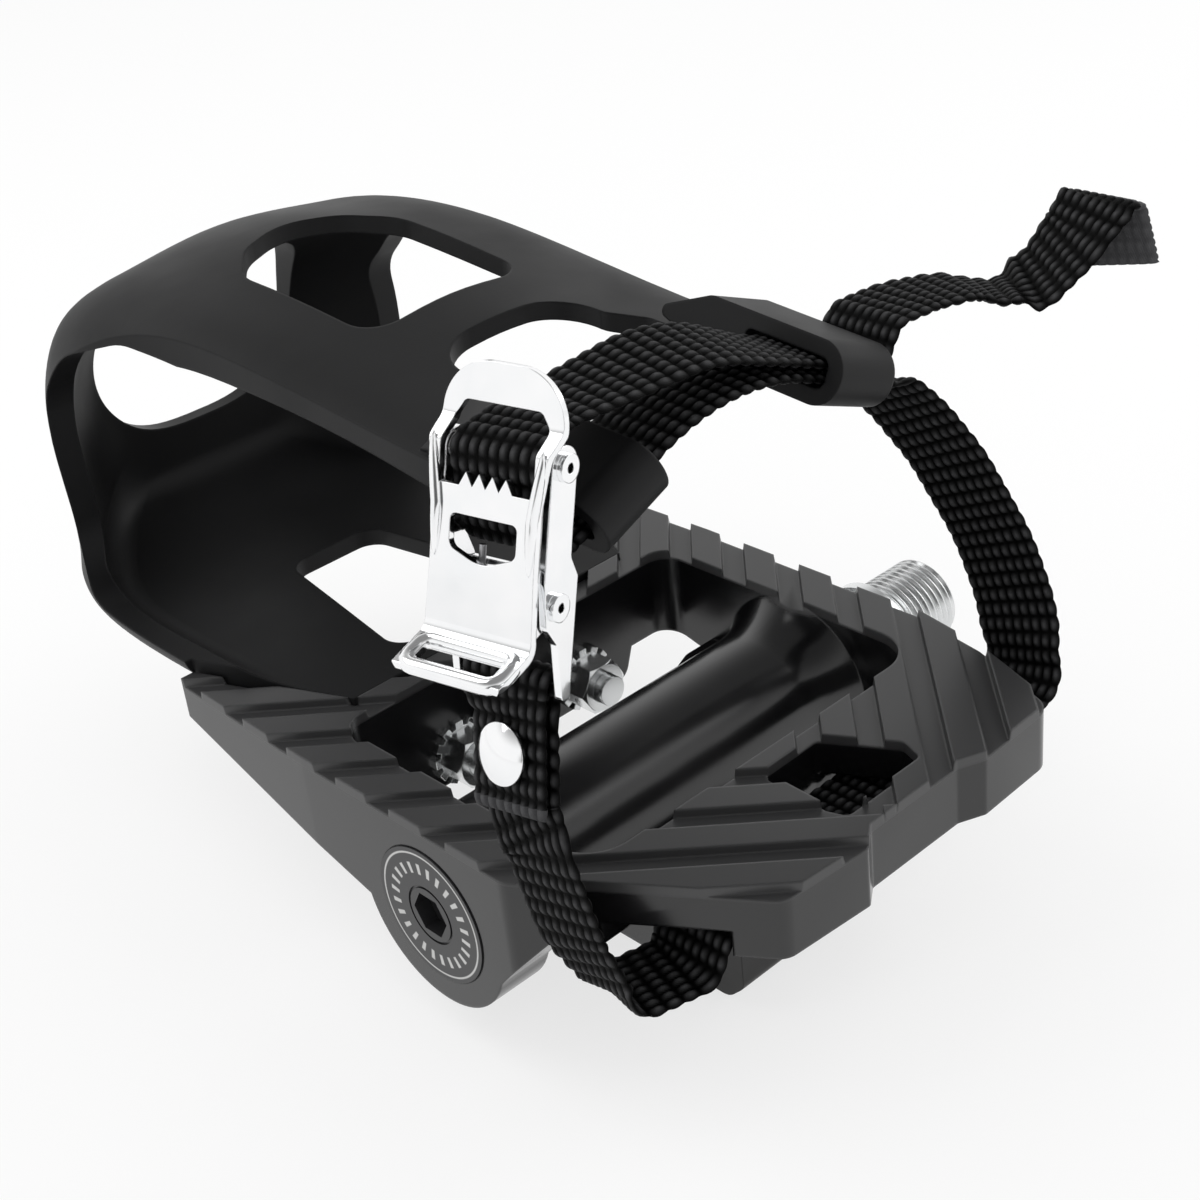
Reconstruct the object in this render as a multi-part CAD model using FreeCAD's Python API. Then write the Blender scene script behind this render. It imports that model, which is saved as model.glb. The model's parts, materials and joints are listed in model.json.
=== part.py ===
import FreeCAD, Part
import math
import os

V = FreeCAD.Vector
os.makedirs("parts", exist_ok=True)

# Frame: +X runs along the spindle toward the crank, +Y points to the toe, +Z is up.
# The origin sits on the spindle axis at the face that meets the crank. Sizes are in mm.

# platform casting
crank_gap = 10.0
platform_w = 83.5
half_w = platform_w / 2
inner_x = -crank_gap
outer_x = inner_x - platform_w
mid_x = (inner_x + outer_x) / 2
rail_w = 8.5
tread_z = 15.0
tip_y = 58.3
gap_back_y = -24.5
front_wall_y = 28.0
front_wall_t = 4.0
boss_r = 14.5
barrel_r = 11.5
tunnel_y0 = -27.5
tunnel_y1 = -41.5
tunnel_z = 8.5
groove_pitch = 8.4
groove_w = 2.4
groove_d = 1.3

# spindle and bearings, placed from the two ends of the casting
thread_r = 14.29 / 2
thread_len = 13.9
shoulder_r = 8.6
neck_r = 7.4
flat_half = 7.5
journal_r = 6.0
journal_in_x = inner_x - 3.5
journal_out_x = mid_x + 14.75
tail_r = 4.0
tail_thread_r = 3.4
spindle_end_x = outer_x + 7.0
run_gap = 0.04
bush_wall = 1.5
bush_in_x = journal_in_x - 0.5
bush_out_x = journal_out_x + 1.0
seal_r = 9.5
seal_in_x = inner_x - 3.4
bearing_r = 8.0
bearing_in_x = outer_x + 25.5
bearing_w = 5.0
race_wall = 1.4
ball_n = 9
nut_flats = 11.0
nut_len = 5.5

# dust cap
cap_r = 10.55
cap_t = 3.0
cap_hex = 6.0
fit_gap = 0.05

# clipless binding under the barrel
pad_half = 16.0
pad_z = -15.0
ear_t = 3.0
jaw_pin_r = 2.0
jaw_pin_y = -19.0
jaw_pin_z = -11.0
jaw_side_gap = 1.0
jaw_half = pad_half - ear_t - jaw_side_gap
jaw_wall = 2.4
jaw_screw_half = pad_half / 2
jaw_screw_y = 9.0
jaw_back_y = -29.0
jaw_low_z = -20.0
coil_r = 3.5
coil_wire_r = 0.7

# toe clip
clip_t = 3.0
clip_low_z = 12.0
clip_bolt_half = 13.0
bolt_r = 2.5
bolt_hole_r = 2.65
washer_t = 1.0
nut_t = 4.4
nut_af = 8.0

# strap, loops and buckle
strap_w = 13.0
strap_t = 1.6
layer_gap = 0.4
strap_top_y = -17.2
strap_low_y = -34.5
strap_low_z = 6.6
fold_gap = 0.6
rivet_r = 4.0
droop = math.radians(22.0)
apex_z = 70.4
loop_in = 16.2
loop_out = 26.6
loop_wall = 2.3
loop_slot_h = 4.2
loop_tilt = 4.5
loop_back_y = -26.9
pin_r = 1.05
pin_bore_r = 0.6
roller_r = 1.6
roller_gap = 0.05
wrap_gap = 0.3
buckle_x = mid_x - 36.8
buckle_y = -18.7
buckle_z = 54.7
buckle_tilt = 17.2
buckle_yaw = 12.8
pin_pitch = 16.55
ear_half = 8.05
ear_end_r = 2.5
plate_t = 1.0
bar_x = 3.7
bar_top_z = -10.4
bar_h = 1.8
lever_face_x = -3.15
joggle = 2.7


def save(shape, name):
    shape.exportStep("parts/" + name + ".step")


def rounded(points, radii, to3d):
    # closed outline with a tangent arc of the given radius at each corner
    edges = []
    n = len(points)
    starts = []
    ends = []
    mids = []
    for i in range(n):
        p = points[i]
        a = points[i - 1]
        b = points[(i + 1) % n]
        r = radii[i] if isinstance(radii, (list, tuple)) else radii
        ua = ((a[0] - p[0]), (a[1] - p[1]))
        ub = ((b[0] - p[0]), (b[1] - p[1]))
        la = math.hypot(*ua)
        lb = math.hypot(*ub)
        ua = (ua[0] / la, ua[1] / la)
        ub = (ub[0] / lb, ub[1] / lb)
        ang = math.acos(max(-1, min(1, ua[0] * ub[0] + ua[1] * ub[1])))
        if r <= 0 or abs(ang - math.pi) < 1e-6:
            starts.append(p)
            ends.append(p)
            mids.append(None)
            continue
        t = r / math.tan(ang / 2)
        s = (p[0] + ua[0] * t, p[1] + ua[1] * t)
        e = (p[0] + ub[0] * t, p[1] + ub[1] * t)
        bx, by = ua[0] + ub[0], ua[1] + ub[1]
        lbis = math.hypot(bx, by)
        d = r / math.sin(ang / 2)
        m = (p[0] + bx / lbis * (d - r), p[1] + by / lbis * (d - r))
        starts.append(s)
        ends.append(e)
        mids.append(m)
    for i in range(n):
        if mids[i] is not None:
            edges.append(Part.Arc(to3d(starts[i]), to3d(mids[i]), to3d(ends[i])).toShape())
        j = (i + 1) % n
        if math.hypot(ends[i][0] - starts[j][0], ends[i][1] - starts[j][1]) > 1e-6:
            edges.append(Part.makeLine(to3d(ends[i]), to3d(starts[j])))
    return Part.Wire(edges)


def plate_xy(points, radii, z0, z1):
    face = Part.Face(rounded(points, radii, lambda p: V(p[0], p[1], z0)))
    return face.extrude(V(0, 0, z1 - z0))


def plate_xz(points, radii, y0, y1):
    face = Part.Face(rounded(points, radii, lambda p: V(p[0], y0, p[1])))
    return face.extrude(V(0, y1 - y0, 0))


def plate_yz(points, radii, x0, x1):
    face = Part.Face(rounded(points, radii, lambda p: V(x0, p[0], p[1])))
    return face.extrude(V(x1 - x0, 0, 0))


def rod_x(r, x0, x1, y=0.0, z=0.0):
    return Part.makeCylinder(r, x1 - x0, V(x0, y, z), V(1, 0, 0))


def rod_y(r, y0, y1, x=0.0, z=0.0):
    return Part.makeCylinder(r, y1 - y0, V(x, y0, z), V(0, 1, 0))


def rod_z(r, z0, z1, x=0.0, y=0.0):
    return Part.makeCylinder(r, z1 - z0, V(x, y, z0), V(0, 0, 1))


def ring_x(r_out, r_in, x0, x1):
    return rod_x(r_out, x0, x1).cut(rod_x(r_in, x0 - 1, x1 + 1))


def hexagon(af, to3d):
    r = af / math.sqrt(3)
    pts = [(r * math.cos(math.radians(60 * k)), r * math.sin(math.radians(60 * k))) for k in range(6)]
    return rounded(pts, 0, to3d)


def turned(profile):
    # profile points are (x, r); the outline is closed back along the axis
    pts = [V(x, r, 0) for x, r in profile]
    pts = [V(profile[0][0], 0, 0)] + pts + [V(profile[-1][0], 0, 0)]
    face = Part.Face(Part.makePolygon(pts + [pts[0]]))
    return face.revolve(V(0, 0, 0), V(1, 0, 0), 360)


def at_mid(points):
    return [(mid_x + p[0], p[1]) for p in points]


def mirrored(shape):
    return shape.mirror(V(mid_x, 0, 0), V(1, 0, 0))


# spindle and bearing pieces

def make_spindle():
    bear_out = bearing_in_x - bearing_w
    core = turned([(thread_len, thread_r - 1.2), (thread_len - 1.2, thread_r), (0, thread_r),
                   (0, shoulder_r), (-9.4, shoulder_r),
                   (-10.2, neck_r), (journal_in_x, neck_r), (journal_in_x, journal_r),
                   (journal_out_x, journal_r), (bearing_in_x + 2.0, tail_r + 0.9),
                   (bearing_in_x, tail_r + 0.9), (bearing_in_x, tail_r), (bear_out - 0.5, tail_r),
                   (bear_out - 0.5, tail_thread_r), (spindle_end_x + 0.8, tail_thread_r),
                   (spindle_end_x, tail_thread_r - 0.8)])
    flat = Part.makeBox(6.4, 40, 20, V(-8.4, -20, flat_half))
    low = Part.makeBox(6.4, 40, 20, V(-8.4, -20, -flat_half - 20))
    socket = Part.Face(hexagon(6.0, lambda p: V(thread_len, p[0], p[1]))).extrude(V(-6, 0, 0))
    return core.cut(flat).cut(low).cut(socket)


def make_bearing():
    x1 = bearing_in_x
    x0 = x1 - bearing_w
    xc = (x0 + x1) / 2
    pitch_r = (bearing_r + tail_r) / 2
    ball_r = 1.25
    track = Part.makeTorus(pitch_r, ball_r + run_gap, V(xc, 0, 0), V(1, 0, 0))
    outer = ring_x(bearing_r, bearing_r - race_wall, x0, x1).cut(track)
    inner = ring_x(tail_r + race_wall, tail_r, x0, x1).cut(track)
    balls = []
    for k in range(ball_n):
        a = 2 * math.pi * k / ball_n
        balls.append(Part.makeSphere(ball_r, V(xc, pitch_r * math.cos(a), pitch_r * math.sin(a))))
    return outer, inner, Part.makeCompound(balls)


def make_nut_and_washer():
    x1 = bearing_in_x - bearing_w
    washer = ring_x(6.0, tail_r + 0.1, x1 - 0.5, x1)
    washer = washer.fuse(ring_x(6.0, tail_thread_r + 0.1, x1 - 1.3, x1 - 0.5)).removeSplitter()
    x0 = x1 - 1.3
    body = Part.Face(hexagon(nut_flats, lambda p: V(x0, p[0], p[1]))).extrude(V(-nut_len, 0, 0))
    nut = body.cut(rod_x(tail_thread_r + 0.05, x0 - 20, x0 + 5))
    return washer, nut


def make_bush():
    return ring_x(journal_r + run_gap + bush_wall, journal_r + run_gap, bush_out_x, bush_in_x)


def make_seal():
    return ring_x(seal_r, neck_r + run_gap, seal_in_x, inner_x - 0.4)


# platform casting

def outline():
    left = [(-40.6, tip_y), (-half_w, 26.0), (-half_w, -17.0), (-21.8, -47.3), (-7.0, -48.4),
            (-4.0, -46.3)]
    right = [(14.0, -46.3), (18.0, -48.0), (33.3, -47.4), (39.3, -31.0), (half_w, -18.0),
             (half_w, 26.0), (40.6, tip_y), (38.3, tip_y), (27.4, front_wall_y + front_wall_t),
             (-27.4, front_wall_y + front_wall_t), (-38.3, tip_y)]
    return at_mid(left + right)


def side_profile():
    # lower edge of rails and wing, seen along the spindle
    top = tread_z
    a = V(0, 14.2, -3.4)
    b = V(0, -13.7, -4.8)
    pts = [V(0, 70, top), V(0, 70, 11.2), a]
    e = [Part.makeLine(V(0, 70, top), pts[1]), Part.makeLine(pts[1], a)]
    e.append(Part.Arc(a, V(0, 0, -boss_r), b).toShape())
    rest = [b, V(0, -22.0, 5.0), V(0, tunnel_y0, 5.0), V(0, tunnel_y0, tunnel_z),
            V(0, tunnel_y1, tunnel_z), V(0, tunnel_y1, 4.5), V(0, -60, 4.5), V(0, -60, top),
            V(0, 70, top)]
    for p, q in zip(rest, rest[1:]):
        e.append(Part.makeLine(p, q))
    face = Part.Face(Part.Wire(e))
    face.translate(V(outer_x - 5, 0, 0))
    return face.extrude(V(platform_w + 10, 0, 0))


def grooves():
    cuts = []
    span = 90.0
    for side in (-1, 1):
        for k in range(-7, 12):
            # line runs inward and backward at 45 degrees, so the two sets make a V
            c = k * groove_pitch * math.sqrt(2) + 3.0
            w = groove_w
            sec = Part.makePolygon([V(0, -w / 2, tread_z + 1), V(0, w / 2, tread_z + 1),
                                    V(0, w / 2, tread_z), V(0, w / 4, tread_z - groove_d),
                                    V(0, -w / 4, tread_z - groove_d), V(0, -w / 2, tread_z),
                                    V(0, -w / 2, tread_z + 1)])
            bar = Part.Face(sec).extrude(V(span, 0, 0))
            bar.rotate(V(0, 0, 0), V(0, 0, 1), 45)
            bar.translate(V(mid_x, c - 48.0, 0))
            if side < 0:
                bar = mirrored(bar)
            cuts.append(bar)
    return cuts


def make_body():
    plan = plate_xy(outline(), [0, 3, 3, 3, 1, 1, 1, 1, 4, 3, 3, 3, 0, 0, 0, 0, 0], -20, 30)
    opening = plate_xy(at_mid([(-half_w + rail_w, gap_back_y), (half_w - rail_w, gap_back_y),
                               (half_w - rail_w, front_wall_y), (-half_w + rail_w, front_wall_y)]),
                       [7, 7, 4, 4], -30, 40)
    hole = plate_xy(at_mid([(-3.8, -27.6), (7.2, -27.4), (13.0, -38.0), (11.5, -42.0), (-3.3, -42.0),
                            (-4.3, -39.0)]), 1.2, -30, 40)
    body = plan.cut(opening).cut(hole).common(side_profile())
    for g in grooves():
        body = body.cut(g)
    wall = plate_xz(at_mid([(-half_w + rail_w - 0.5, tread_z - 0.3), (-half_w + rail_w - 0.5, 3.0),
                            (-25.0, 2.0), (-22.5, -5.0), (22.5, -5.0), (25.0, 2.0),
                            (half_w - rail_w + 0.5, 3.0), (half_w - rail_w + 0.5, tread_z - 0.3)]),
                    [0, 0, 2, 3, 3, 2, 0, 0], front_wall_y, front_wall_y + front_wall_t)
    in_face = inner_x - rail_w
    out_face = outer_x + rail_w
    prof = [V(outer_x + 1, 0, 0), V(outer_x + 1, barrel_r + 1.5, 0), V(out_face, barrel_r + 1.5, 0)]
    e = [Part.makeLine(prof[0], prof[1]), Part.makeLine(prof[1], prof[2])]
    e.append(Part.Arc(prof[2], V(out_face + 0.6, barrel_r + 0.6, 0), V(out_face + 2.0, barrel_r, 0)).toShape())
    e.append(Part.makeLine(V(out_face + 2.0, barrel_r, 0), V(in_face - 9.0, barrel_r, 0)))
    e.append(Part.Arc(V(in_face - 9.0, barrel_r, 0), V(in_face - 3.0, barrel_r + 1.2, 0),
                      V(in_face, boss_r - 0.2, 0)).toShape())
    e.append(Part.makeLine(V(in_face, boss_r - 0.2, 0), V(inner_x - 1, boss_r - 0.2, 0)))
    e.append(Part.makeLine(V(inner_x - 1, boss_r - 0.2, 0), V(inner_x - 1, 0, 0)))
    e.append(Part.makeLine(V(inner_x - 1, 0, 0), prof[0]))
    barrel = Part.Face(Part.Wire(e)).revolve(V(0, 0, 0), V(1, 0, 0), 360)
    web = plate_xy(at_mid([(20.0, 8.0), (22.0, 16.0), (27.0, 18.0), (half_w - 4, 18.0),
                           (half_w - 4, 8.0)]), [0, 2, 3, 0, 0], -3.0, 1.0)
    pad = plate_xy(at_mid([(-pad_half, -9.0), (pad_half, -9.0), (pad_half, 17.0), (-pad_half, 17.0)]),
                   [2, 2, 4, 4], pad_z, -6.0)
    body = body.fuse([wall, barrel, web, pad])
    for s in (-1, 1):
        x0 = mid_x + (pad_half - ear_t if s > 0 else -pad_half)
        ear = plate_yz([(-8.0, -6.0), (-8.0, pad_z), (-20.0, pad_z), (jaw_pin_y - 4.5, jaw_pin_z - 2.0),
                        (jaw_pin_y - 4.5, jaw_pin_z + 2.5), (-18.0, -6.0)], [0, 0, 3, 2, 2, 2],
                       x0, x0 + ear_t)
        body = body.fuse(ear)
    # bores along the spindle axis, from the dust cap to the seal
    bear_out = bearing_in_x - bearing_w
    body = body.cut(rod_x(cap_r + fit_gap, outer_x - 1, outer_x + cap_t))
    body = body.cut(rod_x(9.0, outer_x - 1, bear_out))
    body = body.cut(rod_x(bearing_r, bear_out - 1, bearing_in_x))
    body = body.cut(rod_x(bearing_r - 1.0, bear_out, bush_out_x))
    body = body.cut(rod_x(journal_r + run_gap + bush_wall, bush_out_x - 1, 0))
    body = body.cut(rod_x(seal_r, seal_in_x, 0))
    for s in (-1, 1):
        body = body.cut(rod_y(bolt_hole_r, front_wall_y - 1, front_wall_y + 6, mid_x + s * clip_bolt_half))
        body = body.cut(rod_z(1.95, pad_z - 1, -8.0, mid_x + s * jaw_screw_half, jaw_screw_y))
    body = body.cut(rod_x(jaw_pin_r, mid_x - pad_half - 1, mid_x + pad_half + 1, jaw_pin_y, jaw_pin_z))
    return body.removeSplitter()


def make_cap():
    cap = rod_x(cap_r, outer_x - 0.2, outer_x + cap_t)
    skirt = ring_x(9.0 - fit_gap, 7.4, outer_x + cap_t, outer_x + cap_t + 4.0)
    sock = Part.Face(hexagon(cap_hex, lambda p: V(outer_x - 1, p[0], p[1]))).extrude(V(3.2, 0, 0))
    groove = ring_x(4.6, 4.2, outer_x - 1, outer_x + 0.1)
    return cap.fuse(skirt).cut(sock).cut(groove).removeSplitter()


# clipless binding

def make_front_jaw():
    z = pad_z
    half = pad_half - ear_t
    jaw = plate_yz([(5.0, z), (20.0, z), (22.5, z - 2.0), (22.5, z - 5.5), (13.5, z - 5.5),
                    (13.5, z - 3.5), (18.0, z - 3.5), (18.0, z - 2.0), (5.0, z - 2.0)],
                   [0, 2, 1, 1.2, 0.6, 0.6, 0.5, 0.5, 0.6], mid_x - half, mid_x + half)
    jaw = jaw.cut(rod_z(7.5, z - 10, z - 3.0, mid_x, 11.0))
    for s in (-1, 1):
        corner = at_mid([(s * (half + 0.5), 16.0), (s * (half + 0.5), 24.0), (s * (half - 5.5), 24.0)])
        jaw = jaw.cut(plate_xy(corner, 0, z - 10, z + 1))
        x = mid_x + s * jaw_screw_half
        jaw = jaw.cut(rod_z(2.0, z - 10, z + 1, x, jaw_screw_y))
        jaw = jaw.cut(Part.makeCone(3.6, 2.0, 1.6, V(x, jaw_screw_y, z - 2.0), V(0, 0, 1)))
    return jaw


def make_front_jaw_screws():
    out = []
    z = pad_z
    y = jaw_screw_y
    for s in (-1, 1):
        x = mid_x + s * jaw_screw_half
        head = Part.makeCone(3.5, 1.9, 1.6, V(x, y, z - 1.95), V(0, 0, 1))
        shank = rod_z(1.9, z - 0.4, z + 6.5, x, y)
        sock = Part.Face(hexagon(2.5, lambda p: V(x + p[0], y + p[1], z - 2.5))).extrude(V(0, 0, 1.7))
        out.append(head.fuse(shank).cut(sock).removeSplitter())
    return Part.makeCompound(out)


def make_rear_jaw():
    y0 = jaw_back_y
    x0 = mid_x - jaw_half
    x1 = mid_x + jaw_half
    side = [(y0, -8.0), (-26.0, -6.0), (-17.0, -6.5), (-14.8, -9.0), (-14.8, -14.0), (-13.2, -17.0),
            (-13.2, jaw_low_z), (-26.0, jaw_low_z), (y0, -17.0)]
    block = plate_yz(side, [2, 2, 2, 1.5, 1.5, 1, 0.8, 3, 2], x0, x1)
    inside = plate_yz([(y0 + jaw_wall, 0), (0, 0), (0, jaw_low_z + jaw_wall), (y0 + jaw_wall, jaw_low_z + jaw_wall)],
                      [0, 0, 0, 1.5], x0 + jaw_wall, x1 - jaw_wall)
    jaw = block.cut(inside)
    # mouth that takes the back of the cleat
    jaw = jaw.cut(plate_xy(at_mid([(-6.5, -10.0), (6.5, -10.0), (4.0, -16.5), (-4.0, -16.5)]), [0, 0, 1.5, 1.5],
                           jaw_low_z - 2, -16))
    jaw = jaw.cut(rod_x(jaw_pin_r + run_gap, x0 - 1, x1 + 1, jaw_pin_y, jaw_pin_z))
    jaw = jaw.cut(rod_y(2.1, y0 - 2, y0 + 5, mid_x, jaw_pin_z))
    return jaw


def make_jaw_pin():
    pin = rod_x(jaw_pin_r, mid_x - pad_half - 0.6, mid_x + pad_half + 0.6, jaw_pin_y, jaw_pin_z)
    return pin


def make_tension():
    y0 = jaw_back_y
    head = rod_y(3.4, y0 - 2.2, y0, mid_x, jaw_pin_z)
    shank = rod_y(2.0, y0, -22.2, mid_x, jaw_pin_z)
    sock = Part.Face(hexagon(3.0, lambda p: V(mid_x + p[0], y0 - 3, jaw_pin_z + p[1]))).extrude(V(0, 2.4, 0))
    screw = head.fuse(shank).cut(sock).removeSplitter()
    yp = y0 + jaw_wall + 0.4
    hw = jaw_half - jaw_wall - 1.1
    plate = plate_xz(at_mid([(-hw, -15.6), (hw, -15.6), (hw, -8.5), (-hw, -8.5)]), 1.0, yp, yp + 1.8)
    plate = plate.cut(rod_y(2.05, yp - 1, yp + 3, mid_x, jaw_pin_z))
    return screw, plate


def coil_wire(r, wire_r, pitch, turns):
    # coil about Z with a six-sided wire, light enough for a spring that stays out of sight
    helix = Part.makeHelix(pitch, pitch * turns, r)
    ring = [V(r + wire_r * math.cos(math.radians(60 * k)), 0, wire_r * math.sin(math.radians(60 * k))) for k in range(6)]
    return Part.Wire(helix.Edges).makePipeShell([Part.makePolygon(ring + [ring[0]])], True, True)


def make_jaw_springs():
    out = []
    plate_face_y = jaw_back_y + jaw_wall + 0.4 + 1.8
    start = 2.8
    room = jaw_half - jaw_wall - 0.3 - coil_wire_r - start
    turns = int(room / (2 * coil_wire_r + 0.04))
    pitch = room / turns
    for s in (-1, 1):
        # the coil starts at the lowest point, so both legs lie flat along Y
        pipe = coil_wire(coil_r, coil_wire_r, pitch, turns)
        reach = abs(plate_face_y - jaw_pin_y) - 0.05
        leg_a = Part.makeCylinder(coil_wire_r, reach, V(coil_r, 0, 0), V(0, -1, 0))
        leg_b = Part.makeCylinder(coil_wire_r, 9.9, V(coil_r, 0, room), V(0, 1, 0))
        coil = pipe.fuse([leg_a, leg_b])
        # turn the coil so that its axis lies along X and both legs run along Y at the bottom
        coil.rotate(V(0, 0, 0), V(0, 1, 0), 90)
        x = mid_x + (start if s > 0 else -start - room)
        coil.translate(V(x, jaw_pin_y, jaw_pin_z))
        out.append(coil)
    return Part.makeCompound(out)


# toe clip

def clip_section(y, w, zb, zt, rb):
    z0 = zb + rb
    h = zt - z0
    up = [(w, 0.0), (0.985 * w, 0.45 * h), (0.93 * w, 0.74 * h), (0.8 * w, 0.885 * h),
          (0.45 * w, 0.965 * h), (0.0, h)]
    pts = [V(mid_x + a, y, z0 + b) for a, b in up] + [V(mid_x - a, y, z0 + b) for a, b in reversed(up[:-1])]
    top = Part.BSplineCurve()
    top.interpolate(pts)
    c = rb * (1 - math.sqrt(0.5))
    right = Part.Arc(V(mid_x + w - rb, y, zb), V(mid_x + w - c, y, zb + c), V(mid_x + w, y, z0)).toShape()
    left = Part.Arc(V(mid_x - w, y, z0), V(mid_x - w + c, y, zb + c), V(mid_x - w + rb, y, zb)).toShape()
    low = Part.makeLine(V(mid_x - w + rb, y, zb), V(mid_x + w - rb, y, zb))
    return Part.Wire([low, right, top.toShape(), left])


def clip_form(inset):
    # toe box: y, half width, bottom and crown height of each section
    rows = [(-12.0, 38.6, 12.0, 66.0), (10.0, 38.8, 12.0, 66.8), (40.0, 39.0, 12.0, 70.4),
            (60.0, 39.2, 12.0, 72.0), (80.0, 38.6, 12.0, 71.0), (92.0, 36.2, 12.4, 67.6),
            (101.0, 31.0, 14.0, 61.5), (107.0, 24.0, 18.0, 54.5), (109.5, 17.0, 23.0, 48.0)]
    secs = []
    for i, (y, w, zb, zt) in enumerate(rows):
        last = i / (len(rows) - 1.0)
        yy = y - inset * (1.0 if y > 85 else 0.0) - (6.0 if (inset > 0 and i == 0) else 0.0)
        k = 0.55 if y > 105 else 1.0
        secs.append(clip_section(yy, w - inset * k, zb + inset * k, zt - inset * k, 6.0 - 0.4 * inset * last))
    return Part.makeLoft(secs, True, False)


def loop_block(inner):
    # flat tube that carries the strap, drooping outward on each side of the clip
    ln = (loop_out - loop_in) / math.cos(droop)
    h = loop_slot_h + 2 * loop_wall
    back = loop_back_y - strap_top_y
    if inner:
        y0 = back + loop_wall + 0.2
        y1 = strap_w / 2 + 1.2
        pts = [(y0, -loop_slot_h / 2), (y1, -loop_slot_h / 2), (y1, loop_slot_h / 2), (y0, loop_slot_h / 2)]
        tube = plate_yz(pts, [1.4, 1.0, 1.0, 1.4], -3.0, ln + 3.0)
    else:
        pts = [(back, -h / 2), (10.0, -h / 2), (25.2, h / 2 - 4.5), (15.0, h / 2), (back, h / 2)]
        tube = plate_yz(pts, [h / 2 - 0.1, 3.0, 1.0, 2.5, h / 2 - 0.1], 0.0, ln)
    tube.rotate(V(0, 0, 0), V(1, 0, 0), loop_tilt)
    tube.rotate(V(0, 0, 0), V(0, 1, 0), math.degrees(droop))
    mid_layer = (strap_t + layer_gap) / 2
    z = apex_z + mid_layer / math.cos(droop) - loop_in * math.tan(droop)
    tube.translate(V(mid_x + loop_in, strap_top_y, z))
    return tube


def clip_windows():
    crown = plate_xy(at_mid([(-14.8, 61.0), (-14.4, 31.2), (14.4, 31.2), (14.8, 61.0), (9.0, 68.6), (0.0, 72.0),
                             (-9.0, 68.6)]), [8, 5.5, 5.5, 8, 8, 12, 8], 50, 90)
    ring = Part.BSplineCurve()
    half = [(20.0, 50.0), (19.0, 41.0), (13.0, 33.2)]
    top = [(0.0, 62.0), (12.0, 61.2), (17.6, 58.0)]
    pts = top + half + [(0.0, 30.8)] + [(-a, b) for a, b in reversed(top[1:] + half)]
    ring.interpolate([V(mid_x + a, 92, b) for a, b in pts], PeriodicFlag=True)
    front = Part.Face(Part.Wire([ring.toShape()])).extrude(V(0, 40, 0))
    # the band over the instep keeps its width and spreads toward the toe
    edge = Part.BSplineCurve()
    edge.interpolate([V(mid_x + a, b, 0) for a, b in ((28.2, -40), (28.2, 10), (28.9, 43), (30.4, 62), (33.8, 79),
                                                     (35.2, 98))])
    rim = [V(mid_x + 35.2, 98, 0), V(mid_x + 60, 98, 0), V(mid_x + 60, -40, 0), V(mid_x + 28.2, -40, 0)]
    w = Part.Wire([edge.toShape()] + [Part.makeLine(rim[i], rim[i + 1]) for i in range(3)])
    side = Part.Face(w).extrude(V(0, 0, 100))
    prof = plate_yz([(-45, 17.0), (93.3, 17.0), (93.3, 51.0), (88.5, 57.5), (82.0, 95.0), (-45, 95.0)],
                    [0, 11, 6, 8, 0, 0], mid_x, mid_x + 80)
    side = side.common(prof)
    side = side.fuse(plate_yz([(40.0, 17.0), (93.3, 17.0), (93.3, 50.6), (84.4, 59.6), (70.0, 64.0), (40.0, 60.0)],
                              [0, 11, 8, 16, 10, 0], mid_x + 27.0, mid_x + 60))
    base = plate_xy(at_mid([(-14.5, 37.5), (14.5, 37.5), (8.6, 74.0), (-8.6, 74.0)]), [4, 4, 4, 4], 0, 22)
    flare = loop_in + 0.2
    notch = plate_xy(at_mid([(-flare, -60), (flare, -60), (flare, 8.0), (12.6, 13.5), (12.6, 21.5), (-12.6, 21.5),
                             (-12.6, 13.5), (-flare, 8.0)]), [0, 0, 2.5, 3, 7.5, 7.5, 3, 2.5], 45, 95)
    return [crown, front, side, mirrored(side), base, notch]


def make_clip():
    clip = clip_form(0.0).cut(clip_form(clip_t))
    for window in clip_windows():
        clip = clip.cut(window)
    # base ends at the front wall and follows the inner edges of the two horns
    y_seat = front_wall_y + front_wall_t
    clip = clip.cut(Part.makeBox(120, 100, 40, V(mid_x - 60, y_seat - 100, -5)))
    gap = 0.45
    horn = plate_xy(at_mid([(27.4 - gap, y_seat - 1.0), (38.3 - gap, tip_y + 0.4), (60, tip_y + 0.4),
                            (60, y_seat - 1.0)]), 0, 0, 25)
    clip = clip.cut(horn).cut(mirrored(horn))
    # branches stop where the loops begin
    clip = clip.cut(Part.makeBox(120, 60, 60, V(mid_x - 60, -63.0, 45)))
    low = clip_low_z + clip_t
    flange = plate_xz(at_mid([(-19.5, low), (-19.5, -1.0), (-16.0, -5.0), (16.0, -5.0), (19.5, -1.0), (19.5, low)]),
                      [0, 2, 3, 3, 2, 0], y_seat, y_seat + clip_t)
    loop = loop_block(False)
    clip = clip.fuse([flange, loop, mirrored(loop)])
    bore = loop_block(True)
    clip = clip.cut(bore).cut(mirrored(bore))
    for s in (-1, 1):
        clip = clip.cut(rod_y(bolt_hole_r, y_seat - 2, y_seat + 8, mid_x + s * clip_bolt_half))
    return clip.removeSplitter()


def make_clip_bolts():
    y1 = front_wall_y + front_wall_t + clip_t
    y0 = front_wall_y - washer_t - nut_t - 1.8
    out = []
    for s in (-1, 1):
        x = mid_x + s * clip_bolt_half
        head = rod_y(4.6, y1, y1 + 2.6, x)
        shank = rod_y(bolt_r, y0, y1, x)
        sock = Part.Face(hexagon(3.0, lambda p: V(x + p[0], y1 + 3, p[1]))).extrude(V(0, -2.4, 0))
        out.append(head.fuse(shank).cut(sock).removeSplitter())
    return Part.makeCompound(out)


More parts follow.
